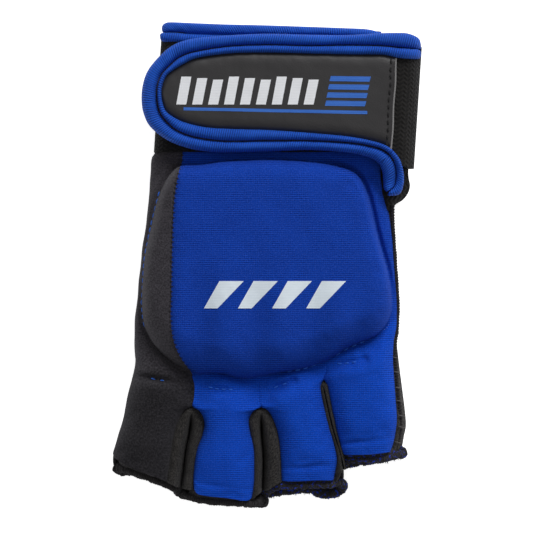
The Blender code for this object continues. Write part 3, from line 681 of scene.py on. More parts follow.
CUT_LINE = spline([(-44.4, -27.6), (-40.2, -28.4), (-35.8, -29.8), (-31.6, -31.4), (-27.4, -33.6), (-24.2, -35.2),
                   (-21, -35.0), (-17.6, -34.7), (-13.2, -35.2), (-9.6, -36.2), (-6, -36.5), (-2, -35.8), (4, -34.7),
                   (9.4, -33.8), (15.2, -32.4), (20.2, -30.6), (23.7, -28.5), (27, -26.6), (30.6, -24.9),
                   (34, -23.6), (37.4, -21.8), (40.2, -19.0), (41.6, -17.3), (44.2, -16.0)], 500)
CUT = lambda x: np.interp(x, CUT_LINE[:, 0], CUT_LINE[:, 1])
HINGE_Y = {f: JOINTS[f + "_flex"]["pos_m"][1] / MM - OY for f in FINGERS}


def tight(x, y):
    """Where the cover dives into a close crease at the pad's foot."""
    return smooth((x - 14) / 12) * smooth((y + 14) / 16)


def pad_rise(x, y):
    d = distance_in(x, y, PAD)
    side = smooth((np.abs(x + 1) - 24) / 10) * smooth((y + 24) / 14)
    wide = 6.2 + 4.2 * smooth((-y - 4) / 20) - 1.5 * side - 0.6 * side * (x < 0) - 1.6 * tight(x, y)
    wide = np.maximum(wide - 2.4 * smooth((y - 16) / 14) * (1 - 0.5 * side), 3.0)
    crown = 1 - 0.55 * ((x + 2) / 44) ** 2 - 0.5 * ((y - 4) / 42) ** 2
    knuckle = np.cos(2 * np.pi * (x - 5.5) / 18.4) * smooth((12 - y) / 34) * smooth((36 - np.abs(x)) / 12)
    rise = bulge(d / wide, 2.0) * (9.6 + 3.6 * crown) + 1.15 * knuckle * bulge(d / 10, 1.8)
    return np.where(d > 0, rise, 0), d


SWELL = {}
SIM = 0.01  # one drawing millimetre in a simulation, where Cloth's own limits suit the sheet


def spline_at(grid, fx, fy):
    """A smooth value of grid at fractional places, fx across it and fy down it."""
    m, n = grid.shape
    fx, fy = np.broadcast_arrays(np.asarray(fx, float), np.asarray(fy, float))
    fx, fy = np.clip(fx, 0, n - 1.001), np.clip(fy, 0, m - 1.001)
    ix, iy = fx.astype(int), fy.astype(int)

    def weights(t):
        return (1 - t) ** 3 / 6, (3 * t**3 - 6 * t**2 + 4) / 6, (-3 * t**3 + 3 * t**2 + 3 * t + 1) / 6, t**3 / 6

    out = 0
    for a, wy in enumerate(weights(fy - iy)):
        row = np.clip(iy + a - 1, 0, m - 1)
        for b, wx in enumerate(weights(fx - ix)):
            out = out + wy * wx * grid[row, np.clip(ix + b - 1, 0, n - 1)]
    return out


def cloth_swell(name, p, held, pressure, grow, cap, frames=18):
    """Blender's Cloth fills the sheet p, held where it is sewn down. Returns how far each point rose, at most cap."""
    m, n, _ = p.shape
    mesh = bpy.data.meshes.new(name)
    faces = grid_faces(m, n)
    a, b, c = (p.reshape(-1, 3)[i] for i in faces[0][:3])
    if np.cross(b - a, c - b)[2] < 0:
        faces = faces[:, ::-1]
    mesh.from_pydata((p.reshape(-1, 3) * SIM).tolist(), [], [tuple(int(i) for i in f) for f in faces])
    sheet = bpy.data.objects.new(name, mesh)
    bpy.context.scene.collection.objects.link(sheet)
    group = sheet.vertex_groups.new(name="held")
    group.add([int(i) for i in np.flatnonzero(held.ravel())], 1.0, "REPLACE")
    cloth = sheet.modifiers.new("Cloth", "CLOTH")
    settings = cloth.settings
    settings.quality = 6
    settings.mass = 0.3
    settings.tension_stiffness = settings.compression_stiffness = 15
    settings.shear_stiffness = 5
    settings.bending_stiffness = 0.5
    settings.air_damping = 2
    settings.vertex_group_mass = "held"
    settings.use_pressure = True
    settings.uniform_pressure_force = pressure
    settings.shrink_min = -grow
    settings.effector_weights.gravity = 0
    cloth.collision_settings.use_collision = False
    cloth.point_cache.frame_start, cloth.point_cache.frame_end = 1, frames
    scene = bpy.context.scene
    for number in range(1, frames + 1):
        scene.frame_set(number)
    moved = np.empty(m * n * 3, np.float32)
    sheet.evaluated_get(bpy.context.evaluated_depsgraph_get()).data.vertices.foreach_get("co", moved)
    rise = moved.reshape(m, n, 3)[..., 2].astype(float) / SIM - p[..., 2]
    bpy.data.objects.remove(sheet)
    bpy.data.meshes.remove(mesh)
    scene.frame_set(1)
    print("SWELL", name, round(float(rise.min()), 3), round(float(rise.max()), 3), round(float(np.abs(rise).mean()), 3))
    return cap * np.tanh(rise / cap)


def back_z(x, y, seam=True):
    """Height of the glove's back, from the cuff down to the roots of the fingers."""
    d_edge = np.minimum(x - LEFT(y), RIGHT(y) - x)
    z = 10.8 - 4.2 * (1 - bulge(d_edge / 6.5, 2.2))
    rise, d = pad_rise(x, y)
    z = z + rise - 0.55 * np.exp(-((d + 0.5) / 0.9) ** 2) - 1.3 * tight(x, y) * np.exp(-((d + 0.45) / 0.75) ** 2)
    roots = 0
    for cx in (-34, -13.3, 8.5, 31.5):
        roots = roots + 2.8 * np.exp(-((x - cx) / 6.8) ** 2)
    z = z + roots * smooth((-y - 16) / 16) * smooth((-d + 1.5) / 3.5)
    if seam:
        ds = np.abs(x - SEAM(y))
        z = z - 0.5 * np.exp(-(ds / 0.75) ** 2)
    low = smooth((38 - y) / 4)
    z = z + low * (0.13 * ripple(x, y, 16, 3) + 0.05 * ripple(x, y, 5, 4))
    if "back" in SWELL:
        z = z + spline_at(SWELL["back"], (x + 45) / 1.2, (40 - y) / 1.2)
    return z


gx_, gy_ = np.meshgrid(-45 + 1.2 * np.arange(76), 40 - 1.2 * np.arange(66))
foot = np.abs(distance_in(gx_, gy_, PAD) + 0.3) < 0.9
out_ = (gx_ < LEFT(gy_) + 0.8) | (gx_ > RIGHT(gy_) - 0.8) | (gy_ > 37.5) | (gy_ < -33)
sewn = (np.abs(gx_ - SEAM(gy_)) < 0.7) & (gy_ > -33)
SWELL["back"] = cloth_swell("back_sheet", np.dstack([gx_, gy_, back_z(gx_, gy_)]), foot | out_ | sewn, 4.0, 0.012, 0.7)


def back_patch(x_left, x_right, nu, nv, top):
    u, v = np.linspace(0, 1, nu)[None], np.linspace(0, 1, nv)[:, None]
    y = np.full((nv, nu), 0.0)
    x = x_left(y) * (1 - u) + x_right(y) * u
    for _ in range(14):
        y = 0.5 * y + 0.5 * (top * (1 - v) + CUT(x) * v)
        x = x_left(y) * (1 - u) + x_right(y) * u
    y = top * (1 - v) + CUT(x) * v
    return x, y


fine = 1
bx, by = back_patch(SEAM, RIGHT, 170 // fine, 250 // fine, 79.5)
cover = shell("back_cover.knit", np.dstack([bx, by, back_z(bx, by)]), 1.3, BLUE_KNIT, np.dstack([bx, by]))
attach(cover, "hand", "back_cover", slot="neoprene_blue")
sx, sy = back_patch(LEFT, SEAM, 50 // fine, 250 // fine, 79.5)
panel = shell("side_panel.neoprene", np.dstack([sx, sy, back_z(sx, sy)]), 1.3, BLACK_NEO, np.dstack([sx, sy]))
attach(panel, "hand", "side_panel", slot="neoprene_black")

# foam under the raised cover, and the lining under both
fu, fv = np.meshgrid(np.linspace(-1, 1, 60), np.linspace(-1, 1, 60))
inner = PAD.mean(0) + (PAD - PAD.mean(0)) * 0.93
ring = resample(inner, 96, closed=True)
steps = np.linspace(0, 1, 16)[:, None, None]
disc = PAD.mean(0) + (ring[None] - PAD.mean(0)) * steps
top_z = back_z(disc[..., 0], disc[..., 1], False) - 1.9
verts = np.concatenate([np.dstack([disc, np.maximum(top_z, 9.6)]).reshape(-1, 3),
                        np.dstack([disc, np.full(disc.shape[:2], 9.25)]).reshape(-1, 3)])
faces = [grid_faces(16, 96, wrap_u=True), grid_faces(16, 96, wrap_u=True, base=16 * 96, flip=True)]
rim = np.arange(96) + 15 * 96
nxt = np.roll(rim, -1)
faces.append(np.stack([rim, nxt, nxt + 16 * 96, rim + 16 * 96], 1))
foam = make("back_foam_pad.foam", verts, np.vstack(faces), FOAM, None, 50)
attach(foam, "hand", "back_foam_pad", slot="foam")

lx, ly = back_patch(lambda y: LEFT(y) + 1.9, lambda y: RIGHT(y) - 1.9, 70, 100, 75.5)
ly = ly + 1.2
lz = 9.0 + 0.12 * ripple(lx, ly, 9, 7)
lz = np.minimum(np.minimum(lz, 9.15), back_z(lx, ly, False) - 1.6)
lining = shell("back_lining.fleece", np.dstack([lx, ly, lz]), 1.0, FLEECE, np.dstack([lx, ly]))
attach(lining, "hand", "back_lining", slot="lining")


# ------------------------------------------------------------------------------------------------
# fingers
# ------------------------------------------------------------------------------------------------
EDGES = {
    "index": (
        [(-43.6, -27.8), (-43.7, -31.7), (-44.8, -36.7), (-46.2, -42.0), (-47.6, -49.5), (-49.0, -54.0), (-50.2, -58.2),
         (-51.0, -60.8), (-50.9, -61.9)],
        [(-24.6, -35.1), (-23.7, -38.5), (-23.9, -42.5), (-24.4, -44.6), (-24.7, -45.4), (-25.6, -45.8), (-26.8, -46.5), (-28.3, -48.9),
         (-29.6, -51.9), (-30.5, -55.1), (-31.8, -63.5), (-32.6, -70.2)],
        [(-50.9, -61.9), (-49.6, -62.9), (-44.4, -65.6), (-38.5, -67.8), (-32.6, -70.2)],
        [(-49.7, -67.2), (-44.5, -67.5), (-38.6, -69.5), (-32.4, -71.7), (-28.9, -74.2)],
    ),
    "middle": (
        [(-24.6, -35.1), (-23.7, -38.5), (-23.9, -42.5), (-24.4, -44.6), (-24.2, -45.4), (-23.4, -45.8), (-22.4, -46.5), (-21.0, -48.6), (-20.5, -51.6),
         (-21.3, -55.1), (-23.1, -60), (-24.1, -67), (-24.1, -70.8)],
        [(-1.7, -35.7), (-1.5, -40), (-1.4, -44.0), (-1.5, -45.0), (-1.9, -45.6), (-2.8, -45.95), (-4.0, -46.7), (-5.3, -48.8), (-5.6, -51.0),
         (-5.1, -54), (-3.8, -60), (-3.7, -70), (-4.4, -75.2)],
        [(-24.1, -70.8), (-23.5, -73.2), (-21.4, -74.5), (-12.6, -75.5), (-6.4, -76.4), (-4.4, -75.2)],
        [(-27.0, -74.9), (-23.8, -75.4), (-16, -77.0), (-6.2, -77.8), (-0.9, -77.9)],
    ),
    "ring": (
        [(-2.1, -35.7), (-1.9, -40), (-1.8, -44.0), (-1.7, -45.0), (-1.3, -45.6), (-0.4, -45.95), (0.6, -46.7), (1.8, -48.6), (3.0, -51.4),
         (4.0, -55), (4.7, -60.7), (5.2, -70.0)],
        [(21.1, -30.3), (20.2, -33.6), (19.4, -36.0), (18.4, -37.8), (18.3, -40), (19.6, -46.2), (21.2, -52.6), (22.6, -57.6),
         (23.6, -63), (22.4, -69.8)],
        [(5.2, -70.0), (11, -69.9), (17, -69.6), (22.4, -69.8)],
        [(1.4, -74.6), (5.7, -73.9), (14.6, -73.2), (17.6, -74.6), (22, -75.0), (25.2, -73.6)],
    ),
    "little": (
        [(20.7, -30.3), (19.8, -33.6), (19.1, -36.0), (20.2, -37.9), (20.9, -41), (22.3, -48), (23.9, -55.1), (25.0, -59.6),
         (25.9, -61.4)],
        [(43.6, -16.2), (43.4, -20), (42.6, -24), (42.3, -29), (42.6, -35), (43.2, -43.3), (43.6, -49.5),
         (42.9, -55.5), (41.6, -60.4)],
        [(25.9, -61.4), (30, -61.2), (36, -60.9), (41.6, -60.4)],
        [(26.9, -65.0), (32.3, -63.9), (39.2, -62.8), (45.3, -60.8)],
    ),
}
TOPS = {"index": 16.3, "middle": 17.3, "ring": 16.9, "little": 16.4}
FLEX = {
    "index": [(-42.6, -35.3), (-36, -36.4), (-29.8, -37.2)],
    "middle": [(-19.6, -38.8), (-15, -39.5), (-10.6, -39.5)],
    "ring": [(1.2, -39.9), (5, -38.4), (9.2, -36.6)],
    "little": [(22.6, -31.4), (27, -30.9), (32.6, -29.5)],
}
WEB_Y = {"index": (None, -46), "middle": (-46, -46.5), "ring": (-46.5, -38), "little": (-38, None)}


def finger_grid(finger, nu, nv, end=1.0):
    left, right, tip, _ = EDGES[finger]
    l, r = spline(left, nv), spline(right, nv)
    a, b = l[0], r[0]
    mask = (CUT_LINE[:, 0] > a[0] + 0.2) & (CUT_LINE[:, 0] < b[0] - 0.2)
    top = resample(np.vstack([[a], CUT_LINE[mask], [b]]), nu)
    bottom = spline(tip, nu)
    grid = coons(top, bottom, l, r)
    run = 0.5 * (length_of(l) + length_of(r))
    return grid, run


WEB = {"index": (None, (-45.6, 13.9)), "middle": ((-45.6, 13.9), (-46.0, 14.0)), "ring": ((-46.0, 14.0), (-37.0, 11.2)),
       "little": ((-37.0, 11.2), None)}


def finger_z(finger, x, y, u, s, run):
    """Height of a finger's cover; u is 0 to 1 across it and s the distance in mm from the root."""
    sides = []
    for web, plain in zip(WEB[finger], (7.7 if finger == "index" else 11.3, 8.6 if finger == "little" else 11.3)):
        if web is None:
            sides.append(np.full(np.shape(y), plain))
        else:
            sides.append(plain + (web[1] - plain) * smooth((y - web[0] + 1.8) / 3.6))
    edge = sides[0] * (1 - smooth(u)) + sides[1] * smooth(u)
    flat = 0.0
    for k, web in enumerate(WEB[finger]):
        if web is not None and web[0] < -40:
            near = smooth(u * 2 - 1) if k else smooth(1 - 2 * u)
            flat = flat + near * smooth((y - web[0] + 0.6) / 3.0)
    w = np.abs(2 * u - 1)
    round_ = (1 - w**2.6) ** 0.6 * (1 - flat) + (1 - smooth(w)) * flat
    top = TOPS[finger] - 1.1 * smooth((s - run + 11) / 11)
    arch = edge + (top - edge) * round_
    blend_in = smooth(s / 11.0)
    z = back_z(x, y, False) * (1 - blend_in) + arch * blend_in
    d, t = distance_to(x, y, spline(FLEX[finger], 24))
    ends = np.sin(np.pi * np.clip(t, 0.04, 0.96)) ** 0.6
    deep = {"index": 2.2, "middle": 1.1, "ring": 1.5, "little": 1.4}[finger]
    z = z - deep * np.exp(-(d / 1.25) ** 2) * ends + 0.35 * np.exp(-((d - 3.0) / 1.6) ** 2) * ends
    px, py = FLEX[finger][-1]
    if finger in ("ring", "little"):
        z = z - 1.2 * np.exp(-((x - px) ** 2 + (y - py) ** 2) / 1.6)
    from_end = run - s
    if finger in ("ring", "little"):
        dip = 0.62 + 0.38 * np.sin(u * 7.0 + len(finger))
        z = z - 0.5 * dip * np.exp(-((from_end - 4.6 - 0.5 * u) / 0.95) ** 2) + 0.2 * smooth((4.2 - from_end) / 1.4)
    elif finger == "middle":
        z = z - 0.12 * np.exp(-((from_end - 3.4) / 0.7) ** 2)
    z = z + 0.10 * ripple(x, y, 7, len(finger))
    if finger in SWELL:
        m, n = SWELL[finger].shape
        z = z + spline_at(SWELL[finger], u * (n - 1), s / run * (m - 1))
    return z


for finger in FINGERS:
    grid, run = finger_grid(finger, 26, 46)
    u = np.linspace(0, 1, 26)[None] * np.ones((46, 1))
    s = np.linspace(0, 1, 46)[:, None] * np.ones((1, 26)) * run
    p = np.dstack([grid, finger_z(finger, grid[..., 0], grid[..., 1], u, s, run)])
    d, t = distance_to(grid[..., 0], grid[..., 1], spline(FLEX[finger], 24))
    held = (u < 0.01) | (u > 0.99) | (s < 2.2) | (s > run - 0.4) | ((d < 0.9) & (t > 0.02) & (t < 0.98))
    if finger in ("ring", "little"):
        held |= np.abs(run - s - 4.4) < 0.5
    SWELL[finger] = cloth_swell(finger + "_sheet", p, held, 3.0, 0.015, 0.55)


TIPS = {}
COVER_MAT = {"index": BLACK_INDEX, "middle": BLUE_FINGER_PAINTED_LIGHTER, "ring": BLUE_FINGER_PAINTED_LIGHTER, "little": BLUE_FINGER_PAINTED_LIGHTER}
for finger in FINGERS:
    nu, nv = 64 // fine, 150 // fine
    grid, run = finger_grid(finger, nu, nv)
    u = np.linspace(0, 1, nu)[None] * np.ones((nv, 1))
    s = np.linspace(0, 1, nv)[:, None] * np.ones((1, nu)) * run
    z = finger_z(finger, grid[..., 0], grid[..., 1], u, s, run)
    p = np.dstack([grid, z])
    piece = shell(finger + "_cover.cloth", p, 1.2, COVER_MAT[finger], np.dstack([grid[..., 0], grid[..., 1]]))
    attach(piece, ("hand", finger), finger + "_cover",
           slot="neoprene_black" if finger == "index" else "neoprene_blue")

    TIPS[finger] = p[-6] - np.array([0, 0, 1.3])

    # foam and lining, hidden inside the sleeve
    iu = slice(int(nu * 0.14), int(nu * 0.86))
    iv = slice(int(nv * 0.16), int(nv * 0.93))
    sub = p[iv, iu][:: 3 // fine or 1, :: 3 // fine or 1]
    m, n, _ = sub.shape
    topz = np.maximum(sub[..., 2] - 1.9, 9.9)
    edge_v = np.minimum(np.arange(m), m - 1 - np.arange(m))[:, None]
    edge_u = np.minimum(np.arange(n), n - 1 - np.arange(n))[None]
    near = np.minimum(edge_v, edge_u)
    topz = np.where(near == 0, 9.6, topz)
    block = np.dstack([sub[..., :2], topz])
    under = np.dstack([sub[..., :2], np.full((m, n), 9.25)])
    verts = np.vstack([block.reshape(-1, 3), under.reshape(-1, 3)])
    ring_i = np.concatenate([np.arange(n - 1), np.arange(m - 1) * n + n - 1, (m - 1) * n + np.arange(n - 1, 0, -1),
                             np.arange(m - 1, 0, -1) * n])
    nx = np.roll(ring_i, -1)
    faces = np.vstack([grid_faces(m, n, flip=True), grid_faces(m, n, base=m * n),
                       np.stack([ring_i, nx, nx + m * n, ring_i + m * n], 1)])
    pad = make(finger + "_pad.foam", verts, faces, FOAM, None, 50)
    attach(pad, ("hand", finger), finger + "_pad", slot="foam")

    lin = p[int(nv * 0.05) : int(nv * 0.97), int(nu * 0.08) : int(nu * 0.92)]
    lin = np.dstack([lin[..., :2], 9.05 + 0.1 * ripple(lin[..., 0], lin[..., 1], 6, 9)])
    piece = shell(finger + "_lining.fleece", lin, 0.9, FLEECE)
    attach(piece, ("hand", finger), finger + "_lining", slot="lining")

# the felt strips between the fingers: (finger, side, edge under the cover, edge at the slit)
SLIT = {
    "index_middle": [(-25.0, -49.6), (-25.2, -52), (-25.7, -55.2), (-26.9, -60.7), (-27.6, -67), (-28.4, -72.6)],
    "middle_ring": [(-1.6, -49.6), (-1.5, -52), (-1.3, -56.5), (-0.9, -63.5), (-1.2, -73.8)],
    "ring_little": [(19.0, -38.9), (19.6, -41.6), (20.9, -47.5), (22.5, -54), (24.6, -60.5), (25.9, -66.5)],
}
LEGS = [
    ("index", "outer_side", [(-24.5, -45.1), (-26.6, -46.1), (-28.3, -49.0), (-29.6, -51.9), (-30.5, -55.1),
                             (-31.8, -63.5), (-32.7, -70.6)], "index_middle", -0.1),
    ("middle", "thumb_side", [(-24.5, -45.1), (-22.5, -46.1), (-21.0, -48.7), (-20.5, -51.6), (-21.3, -55.1),
                              (-23.1, -60), (-24.1, -67), (-24.3, -73.2)], "index_middle", 0.1),
    ("middle", "outer_side", [(-1.6, -45.3), (-3.8, -46.3), (-5.3, -48.9), (-5.6, -51.0), (-5.1, -54), (-3.8, -60),
                              (-3.7, -70), (-4.4, -75.6)], "middle_ring", -0.1),
    ("ring", "thumb_side", [(-1.6, -45.3), (0.4, -46.3), (1.8, -48.7), (3.0, -51.4), (4.0, -55), (4.7, -60.7),
                            (5.2, -70.4)], "middle_ring", 0.1),
    ("ring", "outer_side", [(19.0, -37.2), (18.1, -38.6), (18.3, -40.6), (19.6, -46.2), (21.2, -52.6), (22.6, -57.6),
                            (23.6, -63), (23.0, -70.3)], "ring_little", -0.06),
    ("little", "thumb_side", [(19.0, -37.2), (20.3, -38.2), (20.9, -41), (22.3, -48), (23.9, -55.1), (25.0, -59.6),
                              (26.2, -62.6)], "ring_little", 0.06),
]
W = np.array([0.0, 0.10, 0.2, 0.32, 0.46, 0.6, 0.72, 0.82, 0.9, 0.96, 1.0, 1.0, 1.0, 0.98])
WIDE = np.array([10.2, 11.4, 12.4, 13.1, 13.4, 13.3, 12.7, 11.6, 10.0, 8.0, 6.2, 4.4, 2.9, 1.7])
NARROW = np.array([9.9, 10.6, 11.2, 11.8, 12.2, 12.5, 12.6, 12.6, 12.4, 11.6, 10.0, 7.0, 4.2, 1.7])
for finger, side, outer, slit, shift in LEGS:
    nv = 90 // fine
    o, i = spline(outer, nv), spline(SLIT[slit], nv)
    away = smooth(np.linspace(0, 1, nv) * 9)[:, None]
    i = i + np.array([shift, 0]) * away
    inward = (o - i)
    inward /= np.linalg.norm(inward, axis=1, keepdims=True) + 1e-9
    o = o + inward * 0.7 * smooth(np.linspace(0, 1, nv) * 12)[:, None] + inward * 0.5
    prof = NARROW if slit == "ring_little" else WIDE
    w = W[None, :, None]
    xy = o[:, None] * (1 - w) + i[:, None] * w
    at = np.linspace(0, length_of(o), nv)[:, None]
    z = prof[None] - 0.3 * smooth((2.5 - at) / 2.5) + 0.25 * ripple(xy[..., 0], xy[..., 1], 4.5, 21)
    z = np.maximum(z, 1.6)
    name = f"{finger}_fourchette_{side}"
    piece = walled(name + ".felt", np.dstack([xy, z]), 0.7, BLACK_FELT, (shift * 3, 0, 1), np.dstack([at + 0 * w[..., 0], np.cumsum(np.ones_like(z), 1) * 0.7]))
    attach(piece, ("hand", finger), name, slot="neoprene_black")

# the two outer walls: under the index cover's silhouette, and the little finger's, which leans out
idx_left = spline(EDGES["index"][0], 80)[6:]
idx_low = spline([(-43.2, -33), (-44.4, -40), (-46.4, -47), (-48.6, -54), (-50.6, -62), (-51.0, -65.8)], 74)
b = np.linspace(0, 1, 9)[None, :, None]
wall_xy = idx_left[:, None] * (1 - b) + idx_low[:, None] * b + np.array([0.9, 0.2]) * (1 - b) * 0.6
wall_xy[..., 0] -= 0.5 * np.sin(np.pi * b[..., 0])
wall_z = 7.0 * (1 - b[..., 0]) + 1.5 * b[..., 0] + np.zeros((74, 1))
piece = walled("index_fourchette_thumb_side.felt", np.dstack([wall_xy, wall_z]), 0.8, BLACK_FELT, (-1, 0, 0.3))
attach(piece, ("hand", "index"), "index_fourchette_thumb_side", slot="neoprene_black")

lit_top = spline([(43.0, -20.5), (42.2, -25), (42.0, -30), (42.1, -36), (42.7, -43.3), (43.1, -50.3), (42.7, -55), (41.3, -61.4)], 90)
lit_low = spline([(43.5, -20.5), (44.0, -26), (44.8, -33), (45.7, -40), (46.6, -47.3), (46.9, -52.3), (46.0, -56.6), (45.0, -60.6)], 90)
b = np.linspace(0, 1, 14)[None, :, None]
wall_xy = lit_top[:, None] * (1 - b) + lit_low[:, None] * b
wall_z = 7.9 - 5.8 * b[..., 0] ** 1.6 + 1.0 * np.sin(np.pi * b[..., 0]) + 0.2 * ripple(wall_xy[..., 0], wall_xy[..., 1], 5, 33)
piece = walled("little_fourchette_outer_side.felt", np.dstack([wall_xy, wall_z]), 0.8, BLACK_FELT, (0.5, 0, 1))
attach(piece, ("hand", "little"), "little_fourchette_outer_side", slot="neoprene_black")

# palm panels
PALMS = {
    "index": ([(-42.6, -30), (-44.0, -40), (-46.0, -47), (-48.2, -54), (-49.7, -61.0), (-49.7, -66.6)],
              [(-24.9, -30), (-24.8, -44), (-25.2, -49.6), (-25.9, -55.2), (-27.1, -60.7), (-27.8, -67), (-28.9, -73.6)]),
    "middle": ([(-24.2, -31), (-24.2, -44), (-24.8, -49.6), (-25.5, -55.2), (-26.7, -60.7), (-27.4, -67), (-27.2, -74.3)],
               [(-2.0, -31), (-1.8, -46), (-1.5, -56.5), (-1.1, -63.5), (-1.4, -73.8), (-1.4, -77.2)]),
    "ring": ([(-1.6, -29), (-1.4, -46), (-1.1, -56.5), (-0.7, -63.5), (-0.9, -70), (0.6, -74.0)],
             [(18.6, -27), (18.8, -38), (20.7, -47.5), (22.3, -54), (24.4, -60.5), (25.6, -66.5), (25.3, -73.0)]),
    "little": ([(19.9, -24), (19.4, -37), (20.1, -42), (21.1, -47.5), (22.7, -54), (24.8, -60.5), (26.5, -64.4)],
               [(40.6, -22), (43.0, -28), (44.0, -35), (45.2, -44), (46.2, -51), (44.9, -60.2)]),
}
for finger, (left, right) in PALMS.items():
    l, r = spline(left, 60), spline(right, 60)
    tip = EDGES[finger][3]
    top = np.linspace(l[0], r[0], 26)
    bottom = spline([tuple(l[-1])] + list(tip[1:-1]) + [tuple(r[-1])], 26)
    g = coons(top, bottom, l, r)
    uu = np.abs(np.linspace(-1, 1, 26))[None]
    z = 1.35 + 1.2 * uu**6 + 0.08 * ripple(g[..., 0], g[..., 1], 6, 5)
    piece = shell(finger + "_palm.cloth", np.dstack([g, z]), 1.1, BLACK_NEO)
    attach(piece, ("hand", finger), finger + "_palm", slot="neoprene_black")

# overlocked rims round the open ends
def rim_cord(name, path, radius, mat, seed, sides=16):
    """Overlock round a raw edge: uneven wraps of thread over a lumpy roll."""
    n = len(path)
    t = tangents(path, True)
    side = np.cross(t, np.array([0.0, 0.0, 1.0]))
    small = np.linalg.norm(side, axis=1, keepdims=True) < 0.2
    side = np.where(small, np.cross(t, np.array([0, 1.0, 0])), side)
    side /= np.linalg.norm(side, axis=1, keepdims=True)
    top = np.cross(side, t)
    s_ = np.concatenate([[0], np.cumsum(np.linalg.norm(np.diff(path, axis=0), axis=1))])[:, None]
    a_ = np.linspace(0, 2 * np.pi, sides, endpoint=False)[None]
    r = np.broadcast_to(np.asarray(radius, float), (n,))[:, None] * (
        1 + 0.16 * ripple(s_ + 0 * a_, 2.2 * np.cos(a_) + 0 * s_, 3.6, seed) + 0.10 * ripple(s_ + 0 * a_, 2.5 * np.sin(a_) + 0 * s_, 1.7, seed + 1))
    wob = 0.9 * ripple(s_ + 0 * a_, a_ + 0 * s_, 5.0, seed + 2)
    r = r + 0.17 * np.abs(np.sin(np.pi * s_ / 0.82 + 0.8 * np.sin(a_) + wob)) - 0.08
    ring_ = (np.cos(a_)[..., None] * side[:, None] + np.sin(a_)[..., None] * top[:, None]) * r[..., None]
    pts = path[:, None] + ring_
    pts[..., 2] = np.maximum(pts[..., 2], 0.05)
    fab = np.dstack([s_ + 0 * a_, a_ * 1.6 + 0 * s_]).reshape(-1, 2)
    return make(name, pts.reshape(-1, 3), grid_faces(n, sides, wrap_u=True, wrap_v=True), mat, fab, 80)


RIM_TOP = {
    "index": [(-49.0, -66.0, 4.6), (-47.0, -66.5, 8.2), (-44.0, -67.2, 10.0), (-38.5, -69.2, 10.8), (-33.4, -71.4, 9.4),
              (-31.0, -72.5, 8.6), (-29.0, -74.0, 4.6)],
    "middle": [(-27.7, -75.0, 4.6), (-26.2, -75.4, 8.2), (-23.6, -76.0, 10.2), (-20.8, -76.5, 11.6), (-12.6, -77.2, 12.6),
               (-6.0, -77.5, 11.6), (-3.2, -77.3, 8.8), (-1.5, -76.9, 4.8)],
    "ring": [(0.0, -74.3, 4.8), (1.8, -73.0, 8.6), (4.6, -71.9, 11.0), (10.5, -71.6, 13.4), (17, -71.3, 13.2),
             (21.9, -71.4, 10.6), (24.3, -70.6, 8.2), (25.6, -71.6, 4.8)],
    "little": [(26.7, -64.4, 4.8), (27.0, -63.5, 8.6), (30.2, -62.9, 11.8), (36, -62.8, 12.1), (40.8, -62.5, 10.0),
               (43.9, -61.7, 7.2), (45.5, -61.6, 4.4)],
}
for finger in FINGERS:
    left, right, tip, palm = EDGES[finger]
    t = np.linspace(0, 1, 40)
    up_path = spline(RIM_TOP[finger], 40)
    low_path = np.column_stack([spline(palm, 40), 1.75 + 0.3 * np.sin(t * 9)])[::-1]
    side_r = np.linspace(up_path[-1], low_path[0], 9)[1:-1]
    side_l = np.linspace(low_path[-1], up_path[0], 9)[1:-1]
    for side_, sgn in ((side_r, 1), (side_l, -1)):
        side_[:, 0] += sgn * 0.4 * np.sin(np.pi * np.linspace(0, 1, len(side_)))
    loop = np.vstack([up_path, side_r, low_path, side_l])
    k = 560 // fine
    loop = spline(loop[::3], k, closed=True)
    loop[:, 2] = np.maximum(loop[:, 2], 1.7)
    rad = 1.15 + 0.5 * smooth((9.5 - loop[:, 2]) / 6)
    mat = OVERLOCK if finger in ("index", "middle") else OVERLOCK_BLUE
    piece = rim_cord(finger + "_end_binding.overlock", loop, rad, mat, 30 + len(finger))
    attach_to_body(piece, finger)
    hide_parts(finger + "_end_binding")
    # the overlocked edge that turns down from the cover's end to the rim
    under = TIPS[finger] if TIPS[finger][0, 0] < TIPS[finger][-1, 0] else TIPS[finger][::-1]
    edge_ = resample(up_path, 400)[44:357]
    edge_ = resample(edge_, len(under)) - np.array([0, 0, 0.2])
    t = np.linspace(0, 1, 9)[:, None, None]
    strip = under[None] * (1 - t) + edge_[None] * t
    strip[..., 2] += 0.25 * np.sin(np.pi * t[..., 0]) + 0.12 * ripple(strip[..., 0], strip[..., 1], 3, 17)
    piece = shell(finger + "_end_binding.turn", strip, 0.5, mat, np.dstack([strip[..., 0], strip[..., 1]]))
    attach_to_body(piece, finger)
    if finger in ("ring", "little"):
        r_ = np.random.default_rng(5 + len(finger))
        starts, ends = [], []
        for _ in range(46):
            q = loop[int(r_.integers(0, k))]
            if q[1] > np.mean([e[1] for e in palm]) + 3.5:
                continue
            d_ = np.array([r_.normal(0, 0.7), -abs(r_.normal(0.6, 0.5)), r_.normal(0, 0.4)])
            d_ /= np.linalg.norm(d_) + 1e-6
            starts.append(q + d_ * 1.2)
            ends.append(np.maximum(q + d_ * (1.9 + r_.uniform(0, 0.9)), [-99, -99, 0.3]))
        piece = capsule_chain(finger + "_end_fringe", starts, ends, 0.10, THREAD_BLACK, arch=0.8, sides=5)
        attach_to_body(piece, finger)

